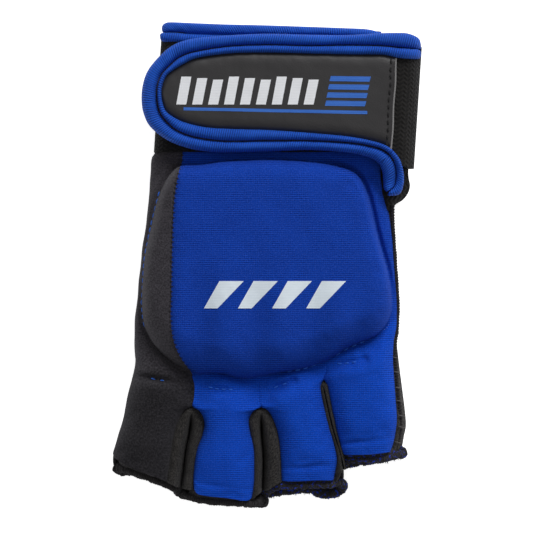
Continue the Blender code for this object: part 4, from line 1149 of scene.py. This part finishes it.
# stitches that mark where each finger bends
for finger in FINGERS:
    line = spline(FLEX[finger], 60)
    if finger == "index":
        line = spline([(-38.9, -35.9), (-36, -36.4), (-33.0, -36.7)], 60)
    if finger == "ring":
        line = spline([(1.9, -39.5), (5, -38.2), (7.7, -37.1)], 60)
    if finger == "little":
        line = spline([(23.2, -31.2), (27, -30.9), (30.4, -30.3)], 60)

    def stitch_z(x, y, finger=finger):
        grid, run = finger_grid(finger, 32, 60)
        uu = np.linspace(0, 1, 32)[None] * np.ones((60, 1))
        ss = np.linspace(0, 1, 60)[:, None] * np.ones((1, 32)) * run
        z = finger_z(finger, grid[..., 0], grid[..., 1], uu, ss, run)
        d = (grid[..., 0] - x) ** 2 + (grid[..., 1] - y) ** 2
        near = np.argsort(d.ravel())[:4]
        wt = 1 / (d.ravel()[near] + 1e-3)
        return (z.ravel()[near] * wt).sum() / wt.sum()

    run_ = stitch_run(finger + "_flex_stitches", line, stitch_z, 2.1, 1.4, 0.21, THREAD_BLUE, lift=0.18)
    attach(run_, ("hand", finger))


# ------------------------------------------------------------------------------------------------
# stitches and prints on the back
# ------------------------------------------------------------------------------------------------
def back_height(x, y):
    x, y = np.atleast_1d(np.asarray(x, float)), np.atleast_1d(np.asarray(y, float))
    return back_z(x, y).ravel()[0] if x.size == 1 else back_z(x, y)


# held near the pad's foot, where the cover is stitched down
for name, line in (
    ("pad_stitches_thumb_side", [(-35.4, 26.4), (-37.0, 20.4), (-38.6, 13.5), (-40.2, 5), (-41.0, -4), (-41.4, -12), (-40.4, -19.2)]),
    ("pad_stitches_little_root", [(22.9, -28.7), (26.8, -26.2), (30.2, -24.7), (33.4, -23.3)]),
    ("pad_stitches_ring_root", [(6.4, -33.8), (11.5, -33.0), (17.2, -31.3)]),
):
    piece = stitch_run(name, spline(line, 120), back_height, 2.4, 1.7, 0.24, THREAD_BLUE, lift=0.18)
    attach(piece, "hand")

# needle marks: short threads across the seam between the black and the blue
line = spline([p for p in SEAM_LINE if p[1] < 50 and p[1] > -36], 700)
total = length_of(line)
at = np.linspace(0, total, 700)
tan = tangents(line)
starts, ends = [], []
for c in np.arange(0.8, total, 1.62):
    p = np.array([np.interp(c, at, line[:, k]) for k in range(2)])
    t = np.array([np.interp(c, at, tan[:, k]) for k in range(2)])
    q = np.array([-t[1], t[0]]) + 0.35 * t
    for arr, sgn in ((starts, -1), (ends, 1)):
        e = p + sgn * q * 0.52 + RNG.normal(0, 0.05, 2)
        arr.append([*e, float(back_z(e[:1], e[1:], False)[0]) - 0.12])
piece = capsule_chain("seam_stitches", starts, ends, 0.17, THREAD_BLACK, arch=0.15)
attach(piece, "hand")


def decal(name, corners, height, mat, lift=0.12, nu=24, nv=10, body="hand", thick=0.35, round_=0.0):
    """A thin raised print between four corners (bottom left, bottom right, top right, top left)."""
    a, b, c, d = (np.array(p, float) for p in corners)
    u, v = np.linspace(0, 1, nu)[None, :, None], np.linspace(0, 1, nv)[:, None, None]
    g = (d * (1 - u) + c * u) * (1 - v) + (a * (1 - u) + b * u) * v
    if round_:
        g[..., 1] += round_ * np.sin(np.pi * u[..., 0]) * (1 - v[..., 0])
    z = height(g[..., 0], g[..., 1]) + lift
    piece = shell(name, np.dstack([g, z]), thick, mat, g)
    return attach(piece, body)


# plain slanted wedges stand where a real pair carries a printed mark
bars = [(-18.6, 9.5, 0.0), (-7.4, 9.5, 0.0), (3.8, 9.5, 0.0), (15.0, 9.5, 0.0)]
for i, (x0, width, _) in enumerate(bars):
    top, low = -3.6, -12.6
    decal(f"back_print_bar_{i}", [(x0 - 1.8, low), (x0 + width * 0.28, low), (x0 + width + 1.8, top), (x0 + width * 0.35, top)],
          back_z, INK_WHITE, lift=0.10, nu=14, nv=26)

# ------------------------------------------------------------------------------------------------
# the sides and the palm side of the hand
# ------------------------------------------------------------------------------------------------
y = np.linspace(38.0, -29.4, 110)[:, None]
ang = np.radians(np.linspace(104, 270, 20))[None]
left = LEFT(y)
gx = left + 3.75 + 4.05 * np.cos(ang) + 0 * y
gz = 4.2 + 3.9 * np.sin(ang) + 0 * y
flat_x = left + 3.75 + np.linspace(0.5, 11.5, 14)[None]
flat_z = np.full_like(flat_x, 0.3) + 0.9 * smooth((flat_x - left - 6) / 9)
gx = np.hstack([gx, flat_x])
gz = np.hstack([gz, flat_z]) + 0.12
gy = y + 0 * gx + 0
gx = gx + 0.25 * ripple(gy, gz, 11, 13)
nrm_out = (-1, 0, -0.4)
piece = walled("thumb_gusset.neoprene", np.dstack([gx, gy, gz]), 0.9, BLACK_NEO, nrm_out, np.dstack([gy, gx + gz]))
attach(piece, "hand", "thumb_gusset", slot="neoprene_black")

y = np.linspace(20.5, -24.2, 90)[:, None]
b = np.linspace(0, 1, 14)[None]
right = RIGHT(y)
gx = right - 0.5 + 0.75 * np.sin(b * np.pi) - 0.8 * b + 1.5 * smooth((y - 3) / 16) * smooth(b / 0.22)
gz = 7.2 - 5.7 * b + 0 * y
gy = y + 0 * b
piece = walled("outer_edge_strip.felt", np.dstack([gx, gy, gz]), 0.9, BLACK_FELT, (1, 0, 0.2), np.dstack([gy, gz]))
attach(piece, "hand", "outer_edge_strip", slot="neoprene_black")
edge_run = spline([(42.2, 21.6, 7.0), (42.4, 15.5, 6.9), (43.0, 6, 6.8), (43.6, -4, 6.8), (44.1, -12, 6.8), (43.9, -16.7, 6.9), (43.7, -21.5, 7.0)], 260 // fine)
piece = tube("outer_edge_overlock", edge_run, 0.62, OVERLOCK, sides=9, lump=0.25, pitch=0.95, seed=5)
attach(piece, "hand")
edge_run = spline([(43.7, -20.6, 7.2), (43.1, -25, 7.4), (43.2, -30, 7.6), (43.6, -36, 7.6), (44.2, -43, 7.4), (44.9, -49, 7.0), (44.9, -53.5, 6.6), (43.9, -58, 6.2), (42.9, -60.6, 6.0)], 240 // fine)
piece = tube("little_side_overlock", edge_run, 0.62, OVERLOCK, sides=9, lump=0.28, pitch=0.95, seed=6)
attach(piece, ("hand", "little"))
starts, ends = [], []
for cx, cy in ((43.0, -29.2), (43.4, -34), (44.1, -39.3), (44.5, -43.7), (45.2, -48.6), (45.2, -52.4), (44.0, -57.5)):
    starts.append([cx - 1.15, cy + 0.25, 8.5])
    ends.append([cx + 1.15, cy - 0.25, 7.3])
piece = capsule_chain("little_side_loops", starts, ends, 0.24, THREAD_GREY, arch=0.9)
attach(piece, ("hand", "little"))

u = np.linspace(0, 1, 70)
top_line = np.column_stack([-33.5 + 73.0 * u, -17.2 + 4.0 * u])
low_line = spline([(-32.5, -29.6), (-26.5, -30.4), (-13.3, -31.2), (7.4, -30.4), (18, -27.8), (30, -25), (39.2, -22.4)], 70)
v = np.linspace(0, 1, 18)[:, None, None]
g = top_line[None] * (1 - v) + low_line[None] * v
z = 1.55 + 0.25 * ripple(g[..., 0], g[..., 1], 9, 8) - 0.2
piece = shell("palm_band.felt", np.dstack([g, z]), 1.1, BLACK_FELT)
attach(piece, "hand", "palm_band", slot="neoprene_black")

# ------------------------------------------------------------------------------------------------
# the cuff
# ------------------------------------------------------------------------------------------------
LEAN = 0.065


def lean(x, y):
    return x + LEAN * (y - 58)


def band(path, y_low, y_high, n_across=46, wrinkle=0.12):
    """Webbing swept in Y along an (x, z) path."""
    path = np.asarray(path, float)
    run = np.concatenate([[0], np.cumsum(np.linalg.norm(np.diff(path, axis=0), axis=1))])[:, None]
    t = np.linspace(0, 1, n_across)[None]
    low = y_low(path[:, 0])[:, None] if callable(y_low) else y_low
    high = y_high(path[:, 0])[:, None] if callable(y_high) else y_high
    yy = low + (high - low) * t + 0 * run
    xx = lean(path[:, :1] + 0 * t, yy)
    zz = path[:, 1:] + wrinkle * ripple(run + 0 * yy, yy, 11, 41)
    return np.dstack([xx, yy, zz]), np.dstack([run + 0 * yy, yy])


cuff_low = lambda x: 39.0 - 5.0 * (x + 37.0) / 87.0
cuff_high = lambda x: 76.3 - 1.8 * (x + 37.0) / 87.0
path = [(35.0, 12.25), (20, 12.3), (0, 12.3), (-20, 12.3)]
path += [(-30.7 + 5.55 * math.cos(a), 6.7 + 5.6 * math.sin(a)) for a in np.radians(np.linspace(90, 270, 19))]
path += [(-20, 1.1), (0, 1.1), (20, 1.1)]
path += [(41.4 + 8.0 * math.cos(a), 9.1 + 8.0 * math.sin(a)) for a in np.radians(np.linspace(-90, -24, 9))]
p, f = band(resample(path, 190 // fine), lambda x: np.where(x > 37, cuff_low(x), 39.2), lambda x: cuff_high(x) + 0.4, wrinkle=0.1)
piece = walled("wrist_webbing.weave", p, 1.2, WEB_BLACK, (-0.2, 0, 0), f)
# the loop's own outward side: away from its middle
attach(piece, "hand", "wrist_webbing", slot="webbing_black")


def cushion(name, x0, x1, y0, y1, z_top, z_low, mat, body, node, slot_name, nu=40, nv=34, ripple_by=0.06):
    xx, yy = np.meshgrid(np.linspace(x0, x1, nu), np.linspace(y1, y0, nv))
    xx = lean(xx, yy)
    d = np.minimum(np.minimum(np.arange(nu), nu - 1 - np.arange(nu))[None], np.minimum(np.arange(nv), nv - 1 - np.arange(nv))[:, None])
    zz = z_top - 0.25 * (d == 0) + ripple_by * ripple(xx, yy, 6, 51)
    piece = shell(name, np.dstack([xx, yy, zz]), z_top - z_low, mat, np.dstack([xx, yy]))
    return attach(piece, body, node, slot=slot_name)


cushion("loop_patch.loops", -29.5, 19.5, 45, 73, 13.75, 12.65, LOOPS, "hand", "loop_patch", "hook_and_loop")
cushion("hook_patch.hooks", -27.5, -4.5, 47.5, 70.5, 15.1, 14.25, HOOKS, "strap", "hook_patch", "hook_and_loop")


def ridge(name, a, b, z_low, z_top, mat, n=None, across=15, rib=0.10, pitch=0.78, lean_=1.1, close=True, bottom=None,
          power=2.4):
    """One puffed edge of a folded tape, between the lines a and b, with its slanting ribs."""
    mid = 0.5 * (np.asarray(a, float) + np.asarray(b, float))
    run_total = length_of(mid)
    n = n or max(40, int(run_total / 0.17) // fine)
    a, b = resample(a, 2000), resample(b, 2000)
    # matched stations: both lines carry the same share of their length at each station
    idx = np.linspace(0, 1999, n)
    A = np.stack([np.interp(idx, np.arange(2000), a[:, k]) for k in range(2)], 1)
    B = np.stack([np.interp(idx, np.arange(2000), b[:, k]) for k in range(2)], 1)
    s = np.linspace(0, run_total, n)[:, None]
    t = np.linspace(0, 1, across)[None]
    round_ = (1 - np.abs(2 * t - 1) ** power) ** (1 / 2.0)
    zl = np.broadcast_to(np.asarray(z_low, float).reshape(-1, 1) if np.ndim(z_low) else z_low, (n, 1)) if not callable(z_low) else z_low(s / run_total)
    zt = z_top(s / run_total) if callable(z_top) else np.full((n, 1), float(z_top))
    wob = 0.5 + 0.5 * ripple(s + 0 * t, t * 3 + 0 * s, 9, 61)
    phase = 2 * np.pi * (s / pitch + lean_ * t + 0.25 * wob)
    ribs = rib * np.sin(phase)
    w = np.linalg.norm(A - B, axis=1)[:, None]
    taper = bulge(np.minimum(s, run_total - s) / (0.5 * w + 1e-6), 2.0) if close else 1.0
    z = zl + (zt - zl) * round_ * (0.25 + 0.75 * taper) + ribs * round_ ** 0.5 + 0.12 * ripple(s + 0 * t, t * 2 + 0 * s, 6, 62)
    tt = 0.5 + (t - 0.5) * (0.45 + 0.55 * taper)
    xy = A[:, None] * (1 - tt[..., None]) + B[:, None] * tt[..., None]
    zb = (bottom(s / run_total) if callable(bottom) else np.full((n, 1), float(bottom))) if bottom is not None else zl - 1.0
    under = np.dstack([xy, zb + 0 * z])
    verts = np.vstack([np.dstack([xy, z]).reshape(-1, 3), under.reshape(-1, 3)])
    count = n * across
    up = np.cross(np.append(xy[0, 1] - xy[0, 0], 0), np.append(xy[1, 0] - xy[0, 0], 0))[2] > 0
    faces = [grid_faces(n, across, flip=not up), grid_faces(n, across, base=count, flip=up)]
    ring_ = np.concatenate([np.arange(across - 1), np.arange(n - 1) * across + across - 1,
                            (n - 1) * across + np.arange(across - 1, 0, -1), np.arange(n - 1, 0, -1) * across])
    nx_ = np.roll(ring_, -1)
    rim_ = np.stack([ring_, ring_ + count, nx_ + count, nx_], 1)
    faces.append(rim_ if up else rim_[:, ::-1])
    fab = np.dstack([s + 0 * t, t * w]).reshape(-1, 2)
    return make(name, verts, np.vstack(faces), mat, np.vstack([fab, fab]), 75)


# cuff binding: the outer ridge along the cuff's top, and the inner one whose cut end shows at the thumb side
ca = spline([(-34.9, 79.2), (-34.6, 81.2), (-33.3, 82.3), (-31, 82.5), (-24, 82.2), (-13.4, 81.8), (0, 81.5), (12.1, 81.1), (26, 80.6), (33.8, 80.2), (38, 79.1), (41, 77.9)], 400)
cb = spline([(-32.2, 78.9), (-31.8, 79.0), (-31.2, 79.1), (-30, 79.05), (-24, 78.5), (-13.4, 78.1), (0, 78.0), (12.1, 77.8), (26, 77.5), (33.8, 77.1), (38, 76.4), (41, 75.6)], 400)
cuff_z = lambda t: 12.4 - 0.8 * t
piece = ridge("cuff_binding.outer", ca, cb, lambda t: 9.4 - 0.8 * t, cuff_z, TAPE_BLUE, bottom=7.0)
attach(piece, "hand", "cuff_binding", slot="ribbed_tape_blue")
da = spline([(-35.3, 78.9), (-30, 78.85), (-24, 78.3), (-10, 78.0), (8, 77.8), (24, 77.6), (38, 77.4)], 300)
db = spline([(-35.1, 76.0), (-30, 75.6), (-24, 75.4), (-10, 75.2), (8, 74.9), (24, 74.7), (38, 74.4)], 300)
piece = ridge("cuff_binding.inner", da, db, 11.4, 13.5, TAPE_BLUE, bottom=9.0)
attach(piece, "hand", slot="ribbed_tape_blue")

# slit gusset: the black webbing corner behind the curl of tape
gl = spline([(39.0, 37.5), (37.8, 31), (38.3, 26), (39.5, 20.0)], 40)
gr = spline([(47.8, 35.6), (47.6, 33.0), (47.8, 30.6), (48.2, 28.4), (47.9, 26.6), (47.0, 24.8), (45.6, 23.3), (43.2, 21.7), (42.6, 19.6)], 40)
g = gl[:, None] * (1 - np.linspace(0, 1, 16)[None, :, None]) + gr[:, None] * np.linspace(0, 1, 16)[None, :, None]
uu = np.linspace(0, 1, 16)[None]
gz = 8.2 - 4.2 * uu**2 + 0.6 * np.sin(np.pi * uu) + 0.3 * ripple(g[..., 0], g[..., 1], 5, 71)
piece = shell("slit_gusset.weave", np.dstack([g, gz]), 1.3, WEB_BLACK, np.dstack([g[..., 1], g[..., 0]]))
attach(piece, "hand", "slit_gusset", slot="webbing_black")

# ------------------------------------------------------------------------------------------------
# the strap
# ------------------------------------------------------------------------------------------------
# stations from the curl's start, along the lower edge, round the free end and back to the fold: the tape's outer
# edge, the groove between its two ridges, and its inner edge
STATIONS = [
    ((37.6, 34.9), (40.6, 38.4), (42.0, 39.6)), ((36.0, 36.3), (38.4, 39.8), (39.4, 41.3)),
    ((33.4, 37.5), (34.9, 40.9), (35.4, 42.6)), ((27.2, 38.9), (27.5, 42.1), (27.7, 44.1)),
    ((14, 39.7), (14, 42.8), (14, 45.4)),
    ((0.8, 39.2), (0.8, 42.8), (0.8, 46.3)), ((-12, 38.9), (-12.2, 42.6), (-12.4, 46.7)),
    ((-19, 39.2), (-19.2, 43.2), (-19.6, 47.2)), ((-25.6, 40.3), (-25.2, 44.4), (-25.0, 48.3)),
    ((-32.6, 43.0), (-30.2, 46.7), (-28.9, 49.7)), ((-38.2, 47.3), (-34.1, 50.6), (-32.5, 52.0)),
    ((-40.5, 51.8), (-35.5, 53.6), (-33.8, 54.3)), ((-41.2, 56.3), (-36.0, 56.9), (-34.4, 57.2)),
    ((-40.8, 61.2), (-35.9, 60.6), (-34.3, 60.4)), ((-39.1, 66.0), (-34.6, 64.4), (-33.0, 63.8)),
    ((-35.2, 70.8), (-31.9, 67.4), (-30.6, 66.0)), ((-30.6, 74.5), (-28.4, 70.3), (-27.2, 68.0)),
    ((-24.3, 76.6), (-23.2, 72.1), (-22.6, 70.0)), ((-12.4, 77.7), (-12.2, 73.8), (-12.1, 71.5)),
    ((0.8, 78.2), (0.8, 74.3), (0.8, 71.8)), ((14, 77.9), (14, 74.0), (14, 71.5)), ((27, 77.8), (27, 74.2), (27, 71.2)),
    ((38, 78.4), (38, 74.0), (38, 71.1)), ((43, 78.5), (43, 73.5), (43, 70.2)), ((47, 78.4), (47, 73.3), (47, 69.9)),
    ((50.6, 77.2), (50.6, 73.3), (50.6, 70.0)), ((51.6, 75.6), (51.7, 73.1), (51.4, 70.3)),
]
tape_a = spline([s[0] for s in STATIONS], 2400)
tape_b = spline([s[1] for s in STATIONS], 2400)
tape_c = spline([s[2] for s in STATIONS], 2400)
# match the three lines station by station, so that the ridges' ends stay square
def matched(k, n=2400):
    pts = np.array([s[k] for s in STATIONS], float)
    key = np.array([s[1] for s in STATIONS], float)
    at_ = np.concatenate([[0], np.cumsum(np.linalg.norm(np.diff(key, axis=0), axis=1))])
    q = np.vstack([2 * pts[0] - pts[1], pts, 2 * pts[-1] - pts[-2]])
    out, where = [], []
    tt = np.linspace(0, 1, 16, endpoint=False)
    for i in range(len(pts) - 1):
        a_, b_, c_, d_ = q[i : i + 4]
        for t_ in tt:
            out.append(0.5 * (2 * b_ + (c_ - a_) * t_ + (2 * a_ - 5 * b_ + 4 * c_ - d_) * t_**2 + (3 * b_ - a_ - 3 * c_ + d_) * t_**3))
            where.append(at_[i] + (at_[i + 1] - at_[i]) * t_)
    out.append(pts[-1])
    where.append(at_[-1])
    out, where = np.array(out), np.array(where)
    g_ = np.linspace(0, at_[-1], n)
    return np.stack([np.interp(g_, where, out[:, j]) for j in range(2)], 1)


A_, B_, C_ = matched(0), matched(1), matched(2)


def fold_drop(x):
    """How far the strap has turned down over its fold at x."""
    r = 9.6
    t = np.clip((x - 42.3) / r, 0, 0.985)
    return r * (1 - np.sqrt(1 - t * t))


def strap_ridge(name, a, b, top, low, across=15):
    n = 1500 // fine
    idx = np.linspace(0, len(a) - 1, n)
    A = np.stack([np.interp(idx, np.arange(len(a)), a[:, k]) for k in range(2)], 1)
    B = np.stack([np.interp(idx, np.arange(len(b)), b[:, k]) for k in range(2)], 1)
    mid = 0.5 * (A + B)
    s = np.concatenate([[0], np.cumsum(np.linalg.norm(np.diff(mid, axis=0), axis=1))])[:, None]
    total = s[-1, 0]
    t = np.linspace(0, 1, across)[None]
    round_ = (1 - np.abs(2 * t - 1) ** 2.5) ** 0.5
    w = np.linalg.norm(A - B, axis=1)[:, None]
    end = bulge((total - s) / (0.55 * w), 2.0)
    tt = 0.5 + (t - 0.5) * (0.55 + 0.45 * end)
    xy = A[:, None] * (1 - tt[..., None]) + B[:, None] * tt[..., None]
    wob = ripple(s + 0 * t, t * 3 + 0 * s, 10, 61)
    ribs = 0.075 * np.sin(2 * np.pi * (s / 0.76 + 1.15 * t * w / 3.5 + 0.22 * wob))
    drop = fold_drop(xy[..., 0])
    z = low + (top - low) * round_ * (0.3 + 0.7 * end) + ribs * round_**0.5 + 0.13 * ripple(s + 0 * t, t * 2 + 0 * s, 7, 62) - drop
    under = np.dstack([xy, low - 1.2 - drop])
    verts = np.vstack([np.dstack([xy, z]).reshape(-1, 3), under.reshape(-1, 3)])
    count = n * across
    up = np.cross(np.append(xy[0, 1] - xy[0, 0], 0), np.append(xy[1, 0] - xy[0, 0], 0))[2] > 0
    faces = [grid_faces(n, across, flip=not up), grid_faces(n, across, base=count, flip=up)]
    ring_ = np.concatenate([np.arange(across - 1), np.arange(n - 1) * across + across - 1,
                            (n - 1) * across + np.arange(across - 1, 0, -1), np.arange(n - 1, 0, -1) * across])
    nx_ = np.roll(ring_, -1)
    rim_ = np.stack([ring_, ring_ + count, nx_ + count, nx_], 1)
    faces.append(rim_ if up else rim_[:, ::-1])
    fab = np.dstack([s + 0 * t, t * w]).reshape(-1, 2)
    return make(name, verts, np.vstack(faces), TAPE_BLUE, np.vstack([fab, fab]), 75)


piece = strap_ridge("strap_binding.outer", A_, B_ + (A_ - B_) * 0.02, 19.4, 15.6)
attach(piece, "fold", "strap_binding", slot="ribbed_tape_blue")
piece = strap_ridge("strap_binding.inner", B_ - (A_ - B_) * 0.02, C_, 19.9, 17.2)
attach(piece, "fold", slot="ribbed_tape_blue")

# the label: everything inside the tape, its face slightly domed, ending in a cut edge at the webbing
def halves(curve):
    """The lower and upper halves of a line round the free end, as y at x, and the leftmost point."""
    h = int(np.argmin(curve[:, 0]))
    low, top = curve[: h + 1][::-1], curve[h:]
    return (lambda x: np.interp(x, low[:, 0], low[:, 1])), (lambda x: np.interp(x, top[:, 0], top[:, 1])), curve[h]


low_y, top_y, left_tip = halves(C_)
RIGHT_LABEL = lambda y: 41.2 + 0.055 * (y - 40.8) + 0.10 * np.sin(y / 2.3)


def strap_sheet(curve, nu, nv, grow):
    low, top, tip = halves(curve)
    u = (1 - np.cos(np.linspace(0, np.pi / 2, nu))) ** 0.9
    u = u / u[-1]
    t = np.linspace(0, 1, nv)[:, None]
    x = tip[0] + (43.3 - tip[0]) * u[None] + 0 * t
    ease = smooth((x - tip[0]) / 3.0)
    yy = (top(x) + grow * ease) * (1 - t) + (low(x) - grow * ease) * t
    x = np.where(x > 36, 36 + (x - 36) * (RIGHT_LABEL(yy) - 36) / (43.3 - 36), x)
    return x, yy


def label_z(x, y):
    d = np.minimum(np.minimum(top_y(x) - y, y - low_y(x)), RIGHT_LABEL(y) - x + 1.0)
    z = 17.4 + 1.5 * bulge(d / 4.0, 2.0) + 0.10 * ripple(x, y, 13, 81) + 0.03 * ripple(x, y, 4, 82)
    return z - fold_drop(x)


xx, yy = strap_sheet(C_ * 0.8 + B_ * 0.2, 150 // fine, 70 // fine, 0.3)
piece = shell("strap_label.coated", np.dstack([xx, yy, label_z(xx, yy)]), 1.0, LABEL, np.dstack([xx, yy]))
attach(piece, "strap", "strap_label", slot="coated_label")

ty = np.linspace(69.9, 40.0, 120)
edge_pts = np.column_stack([RIGHT_LABEL(ty) + 0.15, ty, 17.75 - fold_drop(RIGHT_LABEL(ty)) + 0 * ty])
piece = tube("strap_label_cut_edge", edge_pts, 0.40, LABEL_EDGE, sides=8)
attach(piece, "strap")
line = np.column_stack([RIGHT_LABEL(ty) - 1.35, ty])
piece = stitch_run("strap_label_stitches", line, lambda x, y: label_z(np.atleast_1d(x), np.atleast_1d(y))[0], 2.4, 1.8, 0.40, THREAD_BLACK, lift=0.10)
attach(piece, "strap")

# black neoprene under the label, hidden behind the tape from above
xx, yy = strap_sheet(B_ * 0.45 + A_ * 0.55, 110 // fine, 50 // fine, 0.0)
zz = 16.6 - fold_drop(xx) + 0.08 * ripple(xx, yy, 9, 83)
piece = shell("tongue_base.neoprene", np.dstack([xx, yy, zz]), 1.1, BLACK_NEO, np.dstack([xx, yy]))
attach(piece, "strap", "tongue_base", slot="neoprene_black")

# webbing that comes round the fold and under the label
path = [(48.5, 3.5), (49.7, 5.0), (50.45, 6.6)]
path += [(41.4 + 9.5 * math.cos(a), 8.2 + 8.9 * math.sin(a)) for a in np.radians(np.linspace(-1, 90, 26))] + [(38.4, 17.1)]
strap_low = lambda x: 36.2 - 2.5 * smooth((x - 43) / 7)
# as wide as the wrist webbing up to the fold, then narrower between the tapes
strap_high = lambda x: 70.6 + 3.7 * (1 - smooth((np.arange(len(x)) / len(x) - 0.22) / 0.09))
p, f = band(resample(path, 90 // fine), strap_low, strap_high, n_across=90, wrinkle=0.22)
piece = walled("strap_webbing.weave", p, 1.2, WEB_BLACK, (0.6, 0, 1), f)
attach(piece, "fold", "strap_webbing", slot="webbing_black")

# the curl of tape that runs on from the strap's lower edge, down the wrist opening
ga = spline([(36.6, 35.9), (37.6, 34.9), (38.6, 32.4), (38.9, 30.2), (39.0, 28.4), (39.2, 27.0), (39.9, 25.9)], 400)
gb = spline([(39.4, 39.2), (40.6, 38.3), (42.4, 35.6), (43.1, 32.6), (43.1, 29.8), (42.5, 27.6), (41.0, 26.4)], 400)
gc = spline([(40.6, 40.7), (42.0, 39.6), (44.4, 36.6), (45.6, 32.6), (45.7, 28.6), (44.3, 25.2), (40.2, 24.6)], 400)
curl_top = lambda t: 19.0 - 4.6 * smooth(t * 1.25)
piece = ridge("slit_binding.inner_ridge", ga, gb, lambda t: curl_top(t) - 2.3, curl_top, TAPE_BLUE, lean_=0.15, bottom=lambda t: curl_top(t) - 4.2, close=True)
attach(piece, "hand", "slit_binding", slot="ribbed_tape_blue")
piece = ridge("slit_binding.outer_ridge", gb, gc, lambda t: curl_top(t) - 2.8, lambda t: curl_top(t) - 0.2, TAPE_BLUE, lean_=0.15, bottom=lambda t: curl_top(t) - 4.6, close=True)
attach(piece, "hand", slot="ribbed_tape_blue")

# plain prints on the label: slanted bars, an underline and a stack of short bars
for i in range(9):
    x0 = -29.6 + 5.25 * i
    tall = 9.2 - 0.5 * (i % 3)
    decal(f"label_print_bar_{i}", [(x0, 54.6), (x0 + 3.3, 54.6), (x0 + 3.3 + 1.7, 54.6 + tall), (x0 + 1.7, 54.6 + tall)],
          label_z, INK_LABEL, lift=0.10, nu=5, nv=10, body="strap", thick=0.25)
decal("label_print_line", [(-27.2, 52.7), (33.4, 51.4), (33.4, 52.5), (-27.2, 53.7)], label_z, INK_BLUE, lift=0.10, nu=60, nv=3,
      body="strap", thick=0.25)
for i in range(4):
    y0 = 54.2 + 2.7 * i
    decal(f"label_print_stack_{i}", [(19.4 + 0.5 * i, y0), (32.6 + 0.5 * i, y0 - 0.2), (33.1 + 0.5 * i, y0 + 1.5), (19.9 + 0.5 * i, y0 + 1.7)],
          label_z, INK_BLUE, lift=0.10, nu=16, nv=4, body="strap", thick=0.25)

# ------------------------------------------------------------------------------------------------
# stage, light and camera
# ------------------------------------------------------------------------------------------------
floor_mat = Nodes("floor_white", 0.9)
vec = floor_mat.add("ShaderNodeNewGeometry").outputs["Position"]
tone = floor_mat.noise(vec, 3.0, 2)
floor_mat.out(floor_mat.mix(tone, (0.90, 0.90, 0.90, 1), (0.93, 0.93, 0.93, 1)), 0.9, None, specular=0.1)
bpy.ops.mesh.primitive_plane_add(size=6.0, location=(0, 0, 0))
floor = bpy.context.object
floor.name = "studio_floor"
floor.data.materials.append(floor_mat.mat)
# the floor stays under the glove when fingers bend: it drops to the lowest of these points
probes = []
for finger in FINGERS:
    ends_y = [float(np.min([q[1] for q in EDGES[finger][3]]))]
    cx_ = float(np.mean([q[0] for q in EDGES[finger][3]]))
    for y_, z_ in ((ends_y[0] - 1.5, 0.0), (ends_y[0] - 1.5, 10.0), (ends_y[0] - 1.5, 15.5)):
        probe = bpy.data.objects.new(f"{finger}_floor_probe_{len(probes)}", None)
        bpy.context.scene.collection.objects.link(probe)
        probe.location = ((cx_ + OX) * MM, (y_ + OY) * MM, z_ * MM)
        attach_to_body(probe, finger)
        probes.append(probe)
probe = bpy.data.objects.new("hand_floor_probe", None)
bpy.context.scene.collection.objects.link(probe)
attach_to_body(probe, "hand")
probes.append(probe)
drive = floor.driver_add("location", 2).driver
drive.type = "MIN"
for i, probe in enumerate(probes):
    variable = drive.variables.new()
    variable.name = f"p{i}"
    variable.type = "TRANSFORMS"
    variable.targets[0].id = probe
    variable.targets[0].transform_type = "LOC_Z"
    variable.targets[0].transform_space = "WORLD_SPACE"
floor_mat.bsdf.inputs["Emission Color"].default_value = (1, 1, 1, 1)
floor_mat.bsdf.inputs["Emission Strength"].default_value = 0.80
floor.visible_glossy = False


def lamp(name, kind, location, energy, size=None, target=(0, 0, 0), color=(1, 1, 1)):
    data = bpy.data.lights.new(name, kind)
    data.energy = energy
    data.color = color
    if kind == "AREA":
        data.shape = "RECTANGLE"
        data.size, data.size_y = size
    obj = bpy.data.objects.new(name, data)
    obj.location = location
    direction = Vector(target) - Vector(location)
    obj.rotation_euler = direction.to_track_quat("-Z", "Y").to_euler()
    bpy.context.scene.collection.objects.link(obj)
    return obj


lamp("key", "AREA", (0.48, 1.20, 1.00), 18.8, (0.80, 0.60))
lamp("overhead", "AREA", (0.0, 0.1, 1.6), 3.4, (1.0, 1.0))
lamp("fill", "AREA", (0.6, -0.9, 0.8), 0.5, (0.8, 0.6))
world = bpy.data.worlds.new("studio") if bpy.context.scene.world is None else bpy.context.scene.world
bpy.context.scene.world = world
world.use_nodes = True
background = world.node_tree.nodes["Background"]
background.inputs["Color"].default_value = (1, 1, 1, 1)
# the backdrop is seen white, and lights the glove only softly
tree = world.node_tree
path_ = tree.nodes.new("ShaderNodeLightPath")
level = tree.nodes.new("ShaderNodeMapRange")
level.inputs["To Min"].default_value = 0.24
level.inputs["To Max"].default_value = 1.0
tree.links.new(path_.outputs["Is Camera Ray"], level.inputs["Value"])
tree.links.new(level.outputs["Result"], background.inputs["Strength"])

camera_data = bpy.data.cameras.new("camera")
camera = bpy.data.objects.new("camera", camera_data)
bpy.context.scene.collection.objects.link(camera)
DISTANCE = 1.05
camera.location = ((0.167 + OX) * MM, (1.167 + OY) * MM, DISTANCE)
camera.rotation_euler = (0, 0, 0)
camera_data.sensor_width = 36.0
camera_data.lens = 36.0 * (DISTANCE - 0.008) / 0.17767
camera_data.clip_start, camera_data.clip_end = 0.05, 20
bpy.context.scene.camera = camera
bpy.context.scene.view_settings.view_transform = "Standard"
